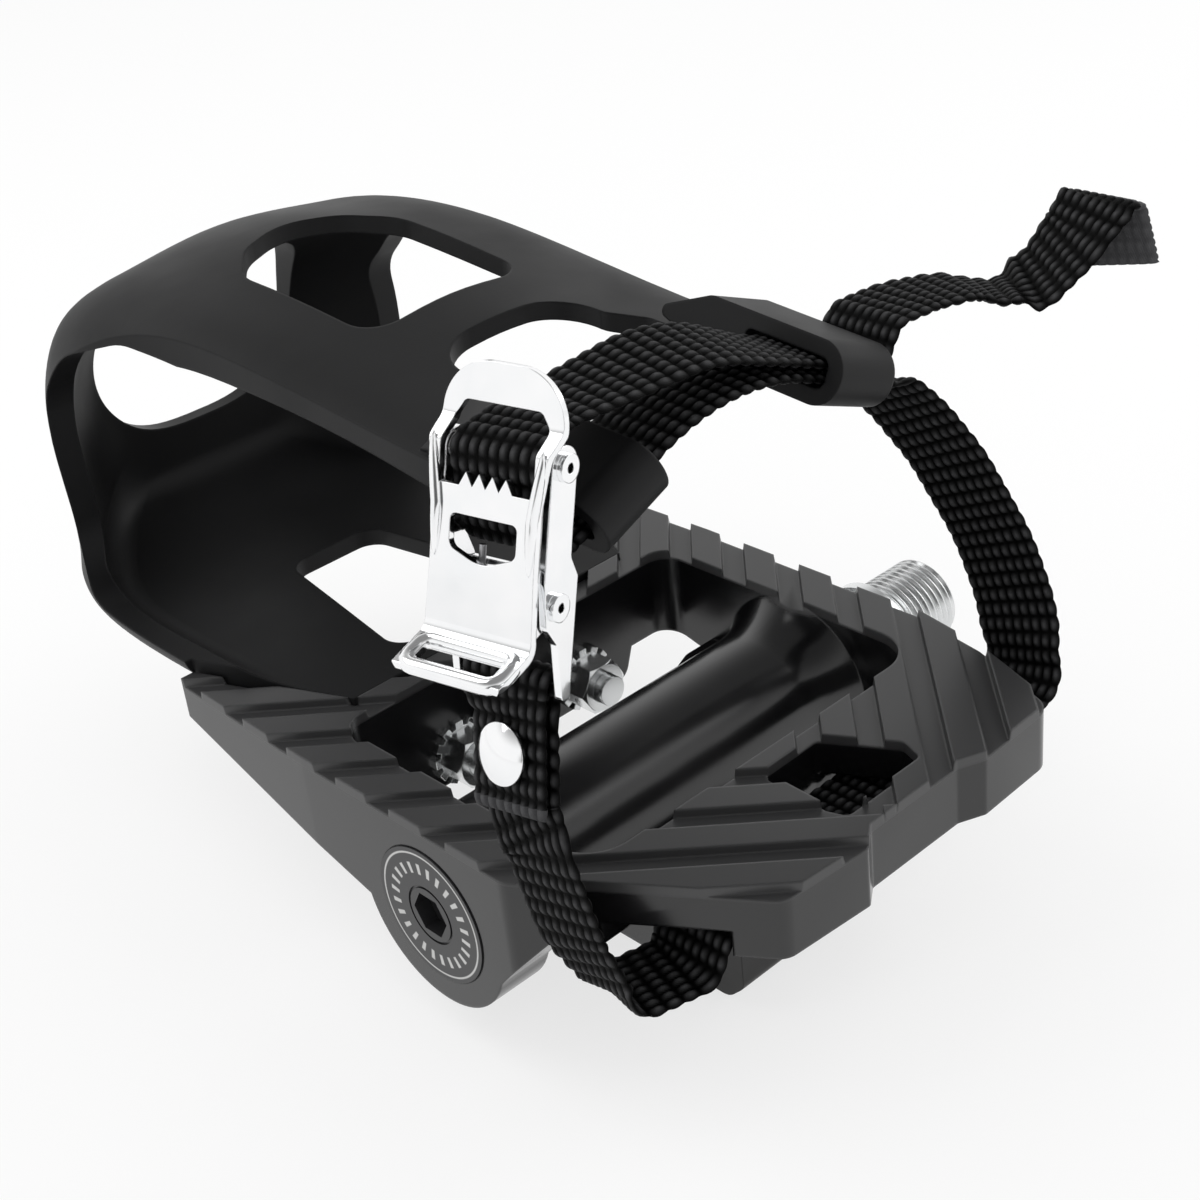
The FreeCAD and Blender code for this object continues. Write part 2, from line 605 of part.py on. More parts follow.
def make_lock_washers():
    out = []
    y0 = front_wall_y - washer_t
    for s in (-1, 1):
        x = mid_x + s * clip_bolt_half
        teeth = []
        n = 12
        for k in range(n):
            a = 2 * math.pi * k / n
            for da, r in ((-0.16, 4.4), (-0.13, 5.4), (0.13, 5.4), (0.16, 4.4)):
                teeth.append((x + r * math.cos(a + da), r * math.sin(a + da)))
        ring = plate_xz(teeth, 0, y0, front_wall_y)
        out.append(ring.cut(rod_y(bolt_r + 0.1, y0 - 1, front_wall_y + 1, x)))
    return Part.makeCompound(out)


def make_clip_nuts():
    out = []
    y1 = front_wall_y - washer_t
    for s in (-1, 1):
        x = mid_x + s * clip_bolt_half
        nut = Part.Face(hexagon(nut_af, lambda p: V(x + p[0], y1, p[1]))).extrude(V(0, -nut_t, 0))
        dome = Part.makeCone(nut_af * 0.5, nut_af * 0.5 + 1.6, 1.2, V(x, y1 - nut_t, 0), V(0, 1, 0))
        dome = dome.fuse(rod_y(nut_af * 0.5 + 1.6, y1 - nut_t + 1.2, y1, x))
        out.append(nut.common(dome).cut(rod_y(bolt_r + 0.05, y1 - 10, y1 + 1, x)))
    return Part.makeCompound(out)


# strap: one flat web that follows a centre line with rounded corners and turns about it

buckle_place = FreeCAD.Placement(V(buckle_x, buckle_y, buckle_z),
                                 FreeCAD.Rotation(V(0, 0, 1), buckle_yaw).multiply(
                                     FreeCAD.Rotation(V(0, 1, 0), buckle_tilt)))


def seat(shape):
    # the buckle is drawn upright about its lower pin and then set in place
    shape.Placement = buckle_place.multiply(shape.Placement)
    return shape


def on_buckle(x, z):
    return buckle_place.multVec(V(x, 0, z))


def at(r, y, z):
    return V(mid_x + r, y, z)


def unit(v):
    return v * (1.0 / v.Length)


def fold_frame():
    # middle of the outer layer at the rivet, with the directions down, across and out of the web there
    rivet = at(-40.1, -20.5, 34.6)
    down = unit(V(-0.29, -0.18, -0.937))
    across = V(0.1, -0.93, 0.28)
    across = unit(across - down * down.dot(across))
    return rivet, down, across, down.cross(across)


def strap_corners():
    # corner, bend radius and direction across the web
    flat = V(0, -1, 0)
    a = math.radians(loop_tilt)
    in_loop = V(0, -math.cos(a), -math.sin(a))
    a = math.radians(buckle_yaw)
    in_buckle = V(math.sin(a), -math.cos(a), 0)
    t = math.tan(droop)
    lift = (strap_t + layer_gap) / math.cos(droop)
    half = strap_t / 2 + 0.35
    side = plate_t / 2 + half
    bar_z = bar_top_z + half
    below = bar_top_z - bar_h - 0.6
    rivet, down, hang, out = fold_frame()
    inner = rivet - out * (strap_t + fold_gap)
    # fixed end: up outside, over the bar of the buckle and down inside
    rows = [(rivet + down * 7.6, 0, hang), (rivet - down * 4.3, 4.0, hang),
            (on_buckle(bar_x - side, below), 3.0, in_buckle), (on_buckle(bar_x - side, bar_z), side - 0.05, in_buckle),
            (on_buckle(bar_x + side, bar_z), side - 0.05, in_buckle), (on_buckle(bar_x + side, below), 3.0, in_buckle),
            (inner - down * 3.6, 4.0, hang), (inner + down * 7.8, 5.0, hang),
            (at(-41.5, -25.2, 22.6), 5.0, hang), (at(-41.0, -26.4, 17.0), 12.0, hang),
            (at(-40.3, -28.0, 9.6), 12.0, hang), (at(-37.6, -31.8, 0.6), 3.4, flat),
            (at(-27.6, strap_low_y, 0.8), 2.8, flat), (at(-24.6, strap_low_y, strap_low_z), 3.0, flat)]
    # under the wing and up the inner side to the first loop
    up = V(0.2, -0.95, 0.23)
    rows += [(at(46.2, strap_low_y + 0.2, strap_low_z), 5.0, flat), (at(47.7, -31.2, 18.4), 30.0, up),
             (at(46.4, -28.0, 28.8), 40.0, up), (at(41.8, -23.4, 42.3), 40.0, up), (at(36.9, -19.6, 51.6), 30.0, up),
             (at(30.6, strap_top_y, apex_z - 30.6 * t), 9.0, in_loop), (at(0, strap_top_y, apex_z), 36.0, in_loop)]
    # through the outer loop, up outside the roller and back over it
    wrap = roller_r + wrap_gap + strap_t / 2
    u = V(-math.sin(math.radians(20.0)), 0, math.cos(math.radians(20.0)))
    v = V(math.cos(math.radians(17.4)), 0, math.sin(math.radians(17.4)))
    corner = V(0, 0, pin_pitch) + unit(u - v) * (wrap / math.cos(u.getAngle(v) / 2))
    entry = corner - u * 13.4
    leave = corner + v * 9.0
    rows += [(at(-28.6, strap_top_y, apex_z - 28.6 * t), 3.5, in_loop), (on_buckle(entry.x, entry.z), 2.4, in_buckle),
             (on_buckle(corner.x, corner.z), wrap, in_buckle), (on_buckle(leave.x, leave.z), 14.0, in_buckle),
             (at(-2.0, strap_top_y, 74.2), 30.0, V(0, -0.98, -0.18)),
             (at(13.0, strap_top_y, apex_z + lift - 13.0 * t), 20.0, in_loop),
             (at(28.8, strap_top_y, apex_z + lift - 28.8 * t), 2.6, in_loop)]
    # free tail, turned over at its end
    rows += [(at(32.8, strap_top_y, 65.6), 3.4, flat), (at(41.5, -17.6, 65.3), 15.0, V(-0.08, -1, 0)),
             (at(49.8, -19.6, 64.5), 10.0, V(-0.4, -0.9, 0.05)), (at(54.3, -22.8, 62.3), 7.0, V(-0.6, -0.78, 0.1)),
             (at(58.9, -26.4, 63.7), 6.0, V(-0.5, -0.83, -0.25)), (at(62.7, -30.0, 70.2), 8.0, V(-0.32, -0.92, -0.2)),
             (at(66.5, -31.0, 74.0), 0.9, flat), (at(68.4, -31.1, 73.2), 0.9, flat),
             (at(69.2, -32.0, 63.8), 0, V(0.25, -0.81, 0.4))]
    return rows


def strap_stations():
    rows = strap_corners()
    out = []
    for i, (p, r, w) in enumerate(rows):
        if i == 0:
            out.append((p, unit(rows[1][0] - p), w))
            continue
        ha = unit(p - rows[i - 1][0])
        if i == len(rows) - 1:
            steps = [(p, ha)]
        else:
            hb = unit(rows[i + 1][0] - p)
            turn = ha.getAngle(hb)
            s = p - ha * (r * math.tan(turn / 2))
            c = p + unit(hb - ha) * (r / math.cos(turn / 2))
            axis = ha.cross(hb)
            n = max(2, int(turn / math.radians(18)) + 1)
            steps = []
            for k in range(n + 1):
                spin = FreeCAD.Rotation(axis, math.degrees(turn * k / n))
                steps.append((c + spin.multVec(s - c), spin.multVec(ha)))
        # a leg along which the web turns gets stations of its own
        q, _, wq = out[-1]
        m = int((steps[0][0] - q).Length / 4.0) if wq.getAngle(w) > 0.05 else 1
        for k in range(1, m):
            out.append((q + (steps[0][0] - q) * (k / m), ha, wq + (w - wq) * (k / m)))
        out += [(c, h, w) for c, h in steps]
    return out


def make_strap():
    wires = []
    for c, h, w in strap_stations():
        w = unit(w - h * h.dot(w))
        a = w * (strap_w / 2)
        b = h.cross(w) * (strap_t / 2)
        q = [c - a + b, c + a + b, c + a - b, c - a - b]
        wires.append(Part.makePolygon(q + [q[0]]))
    web = Part.makeLoft(wires, True, True)
    return web.cut(on_rivet(Part.makeCylinder(1.3, 10.0, V(-4.0, 0, 0), V(1, 0, 0))))


def on_rivet(shape):
    # shapes for the rivet are drawn along X from the middle of the outer layer
    rivet, down, across, out = fold_frame()
    shape.Placement = FreeCAD.Placement(rivet, FreeCAD.Rotation(V(1, 0, 0), out * -1)).multiply(shape.Placement)
    return shape


def make_strap_rivet():
    # domed cap outside, shank through both layers
    x0 = -strap_t / 2 - 0.3
    dome_h = 1.2
    ball = (rivet_r ** 2 + dome_h ** 2) / (2 * dome_h)
    dome = Part.makeSphere(ball, V(x0 - 0.5 - dome_h + ball, 0, 0))
    cap = dome.common(rod_x(rivet_r, x0 - 4.0, x0))
    shank = rod_x(1.2, x0 - 0.4, 1.5 * strap_t + fold_gap + 1.3)
    return on_rivet(cap.fuse(shank).removeSplitter())


def make_strap_rivet_washer():
    x0 = 1.5 * strap_t + fold_gap + 0.3
    return on_rivet(ring_x(3.4, 1.2, x0, x0 + 0.7))


# buckle

def make_buckle_frame():
    e = ear_end_r
    back_x = bar_x + plate_t / 2
    low = bar_top_z - bar_h
    ear = [(-1.6, -e), (-e, 3.0), (-e, pin_pitch + e), (e, pin_pitch + e), (e, 5.5), (back_x, 3.0), (back_x, low),
           (back_x - 1.6, low), (0.9, -5.0)]
    parts = []
    for s in (-1, 1):
        y0 = ear_half - plate_t if s > 0 else -ear_half
        parts.append(plate_xz(ear, [1.2, 2.0, e - 0.02, e - 0.02, 1, 1, 0.8, 0.6, 1.5], y0, y0 + plate_t))
    back = Part.makeBox(plate_t, 2 * ear_half, 2.8 - low, V(back_x - plate_t, -ear_half, low))
    frame = back.fuse(parts)
    # slot above the lower bar for the fixed end of the strap
    slot = Part.makeBox(8, strap_w + 0.6, 6.2, V(0, -strap_w / 2 - 0.3, bar_top_z))
    frame = frame.cut(slot)
    for z in (0.0, pin_pitch):
        frame = frame.cut(rod_y(pin_r, -20, 20, 0, z))
    return seat(frame.removeSplitter())


def lever_section():
    # side view of the bent plate: finger tab, flat face, joggle and top
    x = lever_face_x
    j = joggle
    t = plate_t
    inner = [(x - 6.6, -8.9), (x, -5.6), (x, 17.7), (x + j, 20.2), (x + j, 28.5)]
    outer = [(x + j - t, 28.5), (x + j - t, 20.6), (x - t, 18.1), (x - t, -4.9), (x - 7.0, -7.9)]
    return plate_xz(inner + outer, [0.2, 2.6, 2.0, 1.2, 0, 0, 2.0, 1.2, 1.8, 0.2], -12.0, 12.0)


def make_buckle_lever():
    w = 8.6
    waist = 7.5
    top = 27.4
    tab = 7.8
    front = [(-tab, -9.5), (-tab, -5.0), (-waist, 4.0), (-waist, 12.0), (-w, 19.0), (-w, top), (w, top), (w, 19.0),
             (waist, 12.0), (waist, 4.0), (tab, -5.0), (tab, -9.5)]
    r = [2.0, 6.0, 8.0, 6.0, 6.0, 6.5, 6.5, 6.0, 6.0, 8.0, 6.0, 2.0]
    plate = lever_section().common(plate_yz(front, r, lever_face_x - 12, lever_face_x + 8))
    # strap window with gripping teeth along its lower edge
    hw = strap_w / 2 + 0.25
    tooth_lo = 13.0
    tooth_hi = 14.7
    n = 4
    pitch = 1.9
    window = [(-hw, tooth_lo)]
    for k in range(n):
        y = (k - n / 2) * pitch
        window += [(y, tooth_lo), (y + pitch / 2, tooth_hi)]
    window += [(n / 2 * pitch, tooth_lo), (hw, tooth_lo), (hw, 20.6), (5.4, 22.6), (-5.4, 22.6), (-hw, 20.6)]
    r = [0.6] + [0] * (2 * n + 1) + [0.6, 1.0, 1.0, 1.0, 1.0]
    plate = plate.cut(plate_yz(window, r, lever_face_x - 4, lever_face_x + 6))
    slot = plate_yz([(-4.8, 9.65), (-4.8, 5.6), (0, 3.8), (4.8, 5.6), (4.8, 9.65)], [0.8, 1.2, 5, 1.2, 0.8],
                    lever_face_x - 4, lever_face_x + 2)
    plate = plate.cut(slot)
    # slot in the finger tab
    plate = plate.cut(Part.makeBox(3.0, 11.4, 12, V(lever_face_x - 5.6, -5.7, -14)))
    half_lug = ear_half - plate_t - 0.25
    x0 = lever_face_x - 0.2
    lug = [(x0, 4.6), (x0, -4.6), (0.5, -2.6), (2.2, -0.8), (2.2, 0.8), (0.5, 2.6)]
    parts = []
    for s in (-1, 1):
        y0 = half_lug - plate_t if s > 0 else -half_lug
        parts.append(plate_xz(lug, [0, 0, 1.5, 1.2, 1.2, 1.5], y0, y0 + plate_t))
    lever = plate.fuse(parts)
    lever = lever.cut(rod_y(pin_r + run_gap, -20, 20, 0, 0))
    return seat(lever.removeSplitter())


def make_buckle_pin(z):
    half = ear_half + 0.8
    pin = rod_y(pin_r, -half, half, 0, z)
    for s in (-1, 1):
        y0 = ear_half if s > 0 else -half
        pin = pin.fuse(rod_y(pin_r + 0.7, y0, y0 + 0.8, 0, z))
    return seat(pin.cut(rod_y(pin_bore_r, -20, 20, 0, z)).removeSplitter())


def make_buckle_roller():
    half = ear_half - plate_t - 0.3
    r = rod_y(roller_r, -half, half, 0, pin_pitch)
    return seat(r.cut(rod_y(pin_r + roller_gap, -20, 20, 0, pin_pitch)))


def make_buckle_spring():
    # torsion spring round the lower pin, one leg on the frame back, one behind the lever
    turns = 3
    wire_r = 0.45
    coil = pin_r + 0.35 + wire_r
    pitch = 1.0
    pipe = coil_wire(coil, wire_r, pitch, turns)
    leg_a = Part.makeCylinder(wire_r, 6.0, V(coil, 0, 0), V(0, -1, 0))
    leg_b = Part.makeCylinder(wire_r, 6.0, V(coil, 0, pitch * turns), V(0, 1, 0))
    spring = pipe.fuse([leg_a, leg_b])
    # coil axis along the pin, legs pointing down
    spring.rotate(V(0, 0, 0), V(1, 0, 0), 90)
    spring.rotate(V(0, 0, 0), V(0, 1, 0), 180)
    spring.translate(V(0, pitch * turns / 2, 0))
    return seat(spring)


save(make_spindle(), "spindle")
race_out, race_in, balls = make_bearing()
save(race_out, "bearing_outer_race")
save(race_in, "bearing_inner_race")
save(balls, "bearing_balls")
sp_washer, sp_nut = make_nut_and_washer()
save(sp_washer, "spindle_washer")
save(sp_nut, "spindle_nut")
save(make_bush(), "inner_bush")
save(make_seal(), "inner_seal")
save(make_body(), "pedal_body")
save(make_cap(), "dust_cap")
save(make_front_jaw(), "front_jaw")
save(make_front_jaw_screws(), "front_jaw_screws")
save(make_rear_jaw(), "rear_jaw")
save(make_jaw_pin(), "jaw_pin")
t_screw, t_plate = make_tension()
save(t_screw, "tension_screw")
save(t_plate, "tension_plate")
save(make_jaw_springs(), "jaw_springs")
save(make_clip(), "toe_clip")
save(make_clip_bolts(), "toe_clip_bolts")
save(make_lock_washers(), "lock_washers")
save(make_clip_nuts(), "toe_clip_nuts")
save(make_strap(), "strap")
save(make_strap_rivet(), "strap_rivet")
save(make_strap_rivet_washer(), "strap_rivet_washer")
save(make_buckle_frame(), "buckle_frame")
save(make_buckle_lever(), "buckle_lever")
save(make_buckle_pin(0.0), "buckle_pivot_pin")
save(make_buckle_pin(pin_pitch), "buckle_roller_pin")
save(make_buckle_roller(), "buckle_roller")
save(make_buckle_spring(), "buckle_spring")
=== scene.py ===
import json
import math
import bmesh
import bpy
from mathutils import Matrix, Vector


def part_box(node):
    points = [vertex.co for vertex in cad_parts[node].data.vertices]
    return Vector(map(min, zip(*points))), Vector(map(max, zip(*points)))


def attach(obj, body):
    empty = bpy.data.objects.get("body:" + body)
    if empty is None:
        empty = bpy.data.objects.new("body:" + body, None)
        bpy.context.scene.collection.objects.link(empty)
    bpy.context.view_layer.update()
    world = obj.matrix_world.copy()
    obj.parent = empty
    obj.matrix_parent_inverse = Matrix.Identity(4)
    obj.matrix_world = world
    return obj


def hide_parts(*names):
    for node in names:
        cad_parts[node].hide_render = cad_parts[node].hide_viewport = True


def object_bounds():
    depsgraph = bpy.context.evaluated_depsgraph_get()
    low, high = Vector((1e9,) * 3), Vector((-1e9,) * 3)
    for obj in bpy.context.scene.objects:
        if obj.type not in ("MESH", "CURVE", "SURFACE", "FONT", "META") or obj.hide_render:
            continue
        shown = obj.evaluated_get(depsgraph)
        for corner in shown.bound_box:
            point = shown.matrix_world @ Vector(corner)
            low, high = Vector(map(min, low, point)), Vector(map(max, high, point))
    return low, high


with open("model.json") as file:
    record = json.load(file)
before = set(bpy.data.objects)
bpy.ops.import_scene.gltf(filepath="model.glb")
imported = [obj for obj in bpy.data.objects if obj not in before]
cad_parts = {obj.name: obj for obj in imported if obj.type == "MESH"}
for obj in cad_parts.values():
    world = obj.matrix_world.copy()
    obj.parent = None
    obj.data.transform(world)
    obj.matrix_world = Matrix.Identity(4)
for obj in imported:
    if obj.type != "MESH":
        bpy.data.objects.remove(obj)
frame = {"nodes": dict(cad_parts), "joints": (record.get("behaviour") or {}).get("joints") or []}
cad_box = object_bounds()
nodes = frame["nodes"]

# Sizes are in millimetres and become metres by MM. +X runs to the crank, +Y to the toe, +Z up.
MM = 0.001

# camera fitted to the picture: right, up and back directions, place, focal length in pixels
IMAGE_SIDE = 1200
FOCAL_PIXELS = 1997.76
CAMERA_RIGHT = (0.7181, -0.6892, -0.0966)
CAMERA_UP = (0.4043, 0.3001, 0.864)
CAMERA_BACK = (-0.5665, -0.6595, 0.4941)
CAMERA_PLACE = (-213.85, -182.41, 169.25)
SENSOR_MM = 36.0

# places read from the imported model
body_low, body_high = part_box("pedal_body")
MID_X = (body_low.x + body_high.x) / 2 / MM
TREAD_Z = body_high.z / MM
SPINDLE_END_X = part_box("spindle")[1].x / MM
CAP_FACE_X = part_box("dust_cap")[0].x / MM
FLOOR_Z = cad_box[0].z
MIDDLE = (cad_box[0] + cad_box[1]) / 2

# strap webbing and its route
STRAP_W = 13.0
STRAP_T = 1.6
LAYER_GAP = 0.4
FOLD_GAP = 0.6
STRAP_TOP_Y = -17.2
STRAP_LOW_Y = -34.5
STRAP_LOW_Z = 6.6
APEX_Z = 70.4
DROOP = math.radians(22.0)
LOOP_TILT = math.radians(4.5)
SMALLEST_TURN = 1e-4
RIVET_PLACE = (-40.1, -20.5, 34.6)
RIVET_DOWN = (-0.29, -0.18, -0.937)
RIVET_ACROSS = (0.1, -0.93, 0.28)

# weave: columns of yarn across the web, rows of beads along it
WARP_COLUMNS = 9
STEPS_PER_WARP = 5
PICK_PITCH = 2.4
STEPS_PER_PICK = 6
BEAD_DEPTH = 0.56
TIP_LENGTH = 10.5
TIP_RELIEF = 0.3
SEALED_ROW = 1.5
EDGE_SQUARENESS = 8
EDGE_SCALLOP = 0.035
TWIST_PITCH = 0.24
TWIST_SLANT = 0.45
TWIST_HEIGHT = 0.35
# lift of the painted light on the bead crowns, added to the fuzz noise
PAINTED_LIGHT_FUZZ_LIFT = 0.4
TIP_PALENESS = 0.55
SEAL_PALENESS = 0.4

# buckle
PLATE_T = 1.0
BAR_X = 3.7
BAR_TOP_Z = -10.4
BAR_H = 1.8
BAR_CLEARANCE = 0.35
BAR_FOOT = 0.6
FOLD_SLACK = 0.05
ROLLER_R = 1.6
WRAP_GAP = 0.3
WRAP_ENTER = math.radians(20.0)
WRAP_LEAVE = math.radians(17.4)

# ribs of the lever and the rolled frame of its finger tab, measured from the lower pin
LEVER_FACE_X = -4.15
RIB_RISE = 0.85
RIB_HALF_W = 0.75
RIB_HALF_LENGTH = 7.4
RIB_MID_Z = 11.4
RIB_Y = 6.8
RIB_SIDES = 14
RIB_RINGS = 28
HEAD_FLARE = 0.95
HEAD_FLARE_Z = 10.5
HEAD_FLARE_LENGTH = 7.0
TAB_ROOT = (-5.0, 0, -5.93)
TAB_SLOPE = (-6.0, 0, -3.0)
TAB_HALF_W = 6.8
TAB_LENGTH = 4.9
TAB_CORNER_R = 1.7
TAB_ROLL_R = 1.1
TAB_ROLL_SIDES = 14
TAB_CORNER_STEPS = 5

# tread grooves, in two sets that meet as a V on the middle line
GROOVE_ANGLE = math.radians(45)
GROOVE_PITCH = 8.4
GROOVE_TOP_W = 4.2
GROOVE_FLOOR_W = 3.4
GROOVE_DEPTH = 1.3
GROOVE_SPAN = 90.0
GROOVE_FIRST_Y = -45.0
GROOVES_FIRST = -7
GROOVES_LAST = 12
# height over which the satin tread and its painted light fade in
SATIN_AND_PAINTED_LIGHT_FADE = 0.5

# spindle thread
THREAD_START_X = 0.6
THREAD_PITCH = 1.27
THREAD_R = 7.145
THREAD_DEPTH = 0.72
THREAD_END_CHAMFER = 1.1
THREAD_TOOTH = ((0.0, 1.0), (0.42, 0.0), (0.58, 0.0))
THREAD_STEPS = 48
ON_CUT = 0.001

# printed ring on the dust cap
CAP_MARKS = 24
CAP_MARK_SHARE = (0.3, 0.7)
CAP_MARK_R = (6.5, 8.3)
CAP_RING_R = (9.55, 9.95)
CAP_PRINT_DEPTH = 0.2
PRINT_BLUR = 0.12

# studio: brightness of what the eye and the mirrors see, and of the light on the object
FLOOR_WHITE = 0.72
FLOOR_HALF = 4.0
FLOOR_GAP = 0.02
SOFT_LIGHT = 0.85
CEILING_GREY = 0.25
CEILING_RISE = (0.35, 0.85)
UNLIT_GREY = 0.12
UNLIT_END = (-0.652, -0.759)
UNLIT_EDGE = (0.78, 0.93)
# name, place from the middle of the pedal in metres, side in metres, watts
SOFT_BOXES = (("key", (-0.25, 0.35, 0.6), 0.5, 1.3), ("side", (0.6, -0.25, 0.35), 0.4, 0.9))


# pieces

def shade_by_angle(mesh, degrees):
    # smooth on round faces, sharp at edges, with no normals left from the model that was copied
    if "custom_normal" in mesh.attributes:
        mesh.attributes.remove(mesh.attributes["custom_normal"])
    mesh.shade_smooth()
    mesh.set_sharp_from_angle(angle=math.radians(degrees))


def mesh_from(name, bm):
    mesh = bpy.data.meshes.new(name)
    bm.to_mesh(mesh)
    bm.free()
    return mesh


def linked_object(name, data):
    thing = bpy.data.objects.new(name, data)
    bpy.context.scene.collection.objects.link(thing)
    return thing


def finished_object(name, bm, body, stands_for=None):
    piece = linked_object(name, mesh_from(name, bm))
    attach(piece, body)
    if stands_for:
        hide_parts(stands_for)
    return piece


def all_of(bm):
    return bm.verts[:] + bm.edges[:] + bm.faces[:]


def close_holes(bm, edges):
    bmesh.ops.holes_fill(bm, edges=[e for e in edges if e.is_boundary], sides=0)


# strap

def joint_place(name):
    joint = next(j for j in frame["joints"] if j["name"] == name)
    return Vector(joint["pos_m"]) / MM, Vector(joint["axis"])


def buckle_frame():
    # lower pin, the direction across the buckle, up its length, out of its face, and the pins' distance
    lower, across = joint_place("buckle_lever_hinge")
    upper, _ = joint_place("buckle_roller_spin")
    up = (upper - lower).normalized()
    return lower, across, up, across.cross(up), (upper - lower).length


def at(x, y, z):
    return Vector((MID_X + x, y, z))


def rivet_frame():
    down = Vector(RIVET_DOWN).normalized()
    across = Vector(RIVET_ACROSS)
    across = (across - down * down.dot(across)).normalized()
    return at(*RIVET_PLACE), down, across, down.cross(across)


def strap_corners():
    # corner, bend radius and direction across the web, from the riveted end to the free tail
    lower, across, up, out, pin_pitch = buckle_frame()
    rivet, down, hang, off = rivet_frame()

    def on_buckle(x, z):
        return lower + out * x + up * z

    flat = Vector((0, -1, 0))
    in_loop = Vector((0, -math.cos(LOOP_TILT), -math.sin(LOOP_TILT)))
    in_buckle = -across
    fall = math.tan(DROOP)
    lift = (STRAP_T + LAYER_GAP) / math.cos(DROOP)
    half = STRAP_T / 2 + BAR_CLEARANCE
    side = PLATE_T / 2 + half
    bar_z = BAR_TOP_Z + half
    fold_r = side - FOLD_SLACK
    below = BAR_TOP_Z - BAR_H - BAR_FOOT
    inner = rivet - off * (STRAP_T + FOLD_GAP)
    fixed_end = [
        (rivet + down * 7.6, 0, hang),
        (rivet - down * 4.3, 4.0, hang),
        (on_buckle(BAR_X - side, below), 3.0, in_buckle),
        (on_buckle(BAR_X - side, bar_z), fold_r, in_buckle),
        (on_buckle(BAR_X + side, bar_z), fold_r, in_buckle),
        (on_buckle(BAR_X + side, below), 3.0, in_buckle),
        (inner - down * 3.6, 4.0, hang),
        (inner + down * 7.8, 5.0, hang),
        (at(-41.5, -25.2, 22.6), 5.0, hang),
        (at(-41.0, -26.4, 17.0), 12.0, hang),
        (at(-40.3, -28.0, 9.6), 12.0, hang),
        (at(-37.6, -31.8, 0.6), 3.4, flat),
        (at(-27.6, STRAP_LOW_Y, 0.8), 2.8, flat),
        (at(-24.6, STRAP_LOW_Y, STRAP_LOW_Z), 3.0, flat),
    ]
    rising = Vector((0.2, -0.95, 0.23))
    inner_side = [
        (at(46.2, STRAP_LOW_Y + 0.2, STRAP_LOW_Z), 5.0, flat),
        (at(47.7, -31.2, 18.4), 30.0, rising),
        (at(46.4, -28.0, 28.8), 40.0, rising),
        (at(41.8, -23.4, 42.3), 40.0, rising),
        (at(36.9, -19.6, 51.6), 30.0, rising),
        (at(30.6, STRAP_TOP_Y, APEX_Z - 30.6 * fall), 9.0, in_loop),
        (at(0, STRAP_TOP_Y, APEX_Z), 36.0, in_loop),
    ]
    wrap = ROLLER_R + WRAP_GAP + STRAP_T / 2
    enter = up * math.cos(WRAP_ENTER) - out * math.sin(WRAP_ENTER)
    leave = up * math.sin(WRAP_LEAVE) + out * math.cos(WRAP_LEAVE)
    corner_reach = wrap / math.cos(enter.angle(leave) / 2)
    corner = on_buckle(0, pin_pitch) + (enter - leave).normalized() * corner_reach
    over_roller = [
        (at(-28.6, STRAP_TOP_Y, APEX_Z - 28.6 * fall), 3.5, in_loop),
        (corner - enter * 13.4, 2.4, in_buckle),
        (corner, wrap, in_buckle),
        (corner + leave * 9.0, 14.0, in_buckle),
        (at(-2.0, STRAP_TOP_Y, 74.2), 30.0, Vector((0, -0.98, -0.18))),
        (at(13.0, STRAP_TOP_Y, APEX_Z + lift - 13.0 * fall), 20.0, in_loop),
        (at(28.8, STRAP_TOP_Y, APEX_Z + lift - 28.8 * fall), 2.6, in_loop),
    ]
    tail = [
        (at(32.8, STRAP_TOP_Y, 65.6), 3.4, flat),
        (at(41.5, -17.6, 65.3), 15.0, Vector((-0.08, -1, 0))),
        (at(49.8, -19.6, 64.5), 10.0, Vector((-0.4, -0.9, 0.05))),
        (at(54.3, -22.8, 62.3), 7.0, Vector((-0.6, -0.78, 0.1))),
        (at(58.9, -26.4, 63.7), 6.0, Vector((-0.5, -0.83, -0.25))),
        (at(62.7, -30.0, 70.2), 8.0, Vector((-0.32, -0.92, -0.2))),
        (at(66.5, -31.0, 74.0), 0.9, flat),
        (at(68.4, -31.1, 73.2), 0.9, flat),
        (at(69.2, -32.0, 63.8), 0, Vector((0.25, -0.81, 0.4))),
    ]
    return fixed_end + inner_side + over_roller + tail


def web_stations(corners, step):
    # short steps along the legs and bends: length so far, place, heading and direction across
    stations = []

    def add(place, heading, across):
        so_far = stations[-1][0] + (place - stations[-1][1]).length if stations else 0.0
        across = (across - heading * heading.dot(across)).normalized()
        stations.append((so_far, place, heading, across))

    last_place, last_across = corners[0][0], corners[0][2]
    add(last_place, (corners[1][0] - last_place).normalized(), last_across)
    for i in range(1, len(corners)):
        place, radius, across = corners[i]
        before = (place - corners[i - 1][0]).normalized()
        if i + 1 < len(corners):
            after = (corners[i + 1][0] - place).normalized()
            turn = before.angle(after)
        else:
            after, turn = before, 0.0
        start = place - before * (radius * math.tan(turn / 2))
        leg = start - last_place
        count = max(1, round(leg.length / step))
        for k in range(1, count + 1):
            share = k / count
            add(last_place + leg * share, before, last_across.lerp(across, share))
        last_place, last_across = start, across
        if turn > SMALLEST_TURN and radius > 0:
            centre = place + (after - before).normalized() * (radius / math.cos(turn / 2))
            axis = before.cross(after).normalized()
            count = max(2, round(radius * turn / step))
            for k in range(1, count + 1):
                spin = Matrix.Rotation(turn * k / count, 3, axis)
                add(centre + spin @ (start - centre), spin @ before, across)
            last_place = stations[-1][1]
    return stations


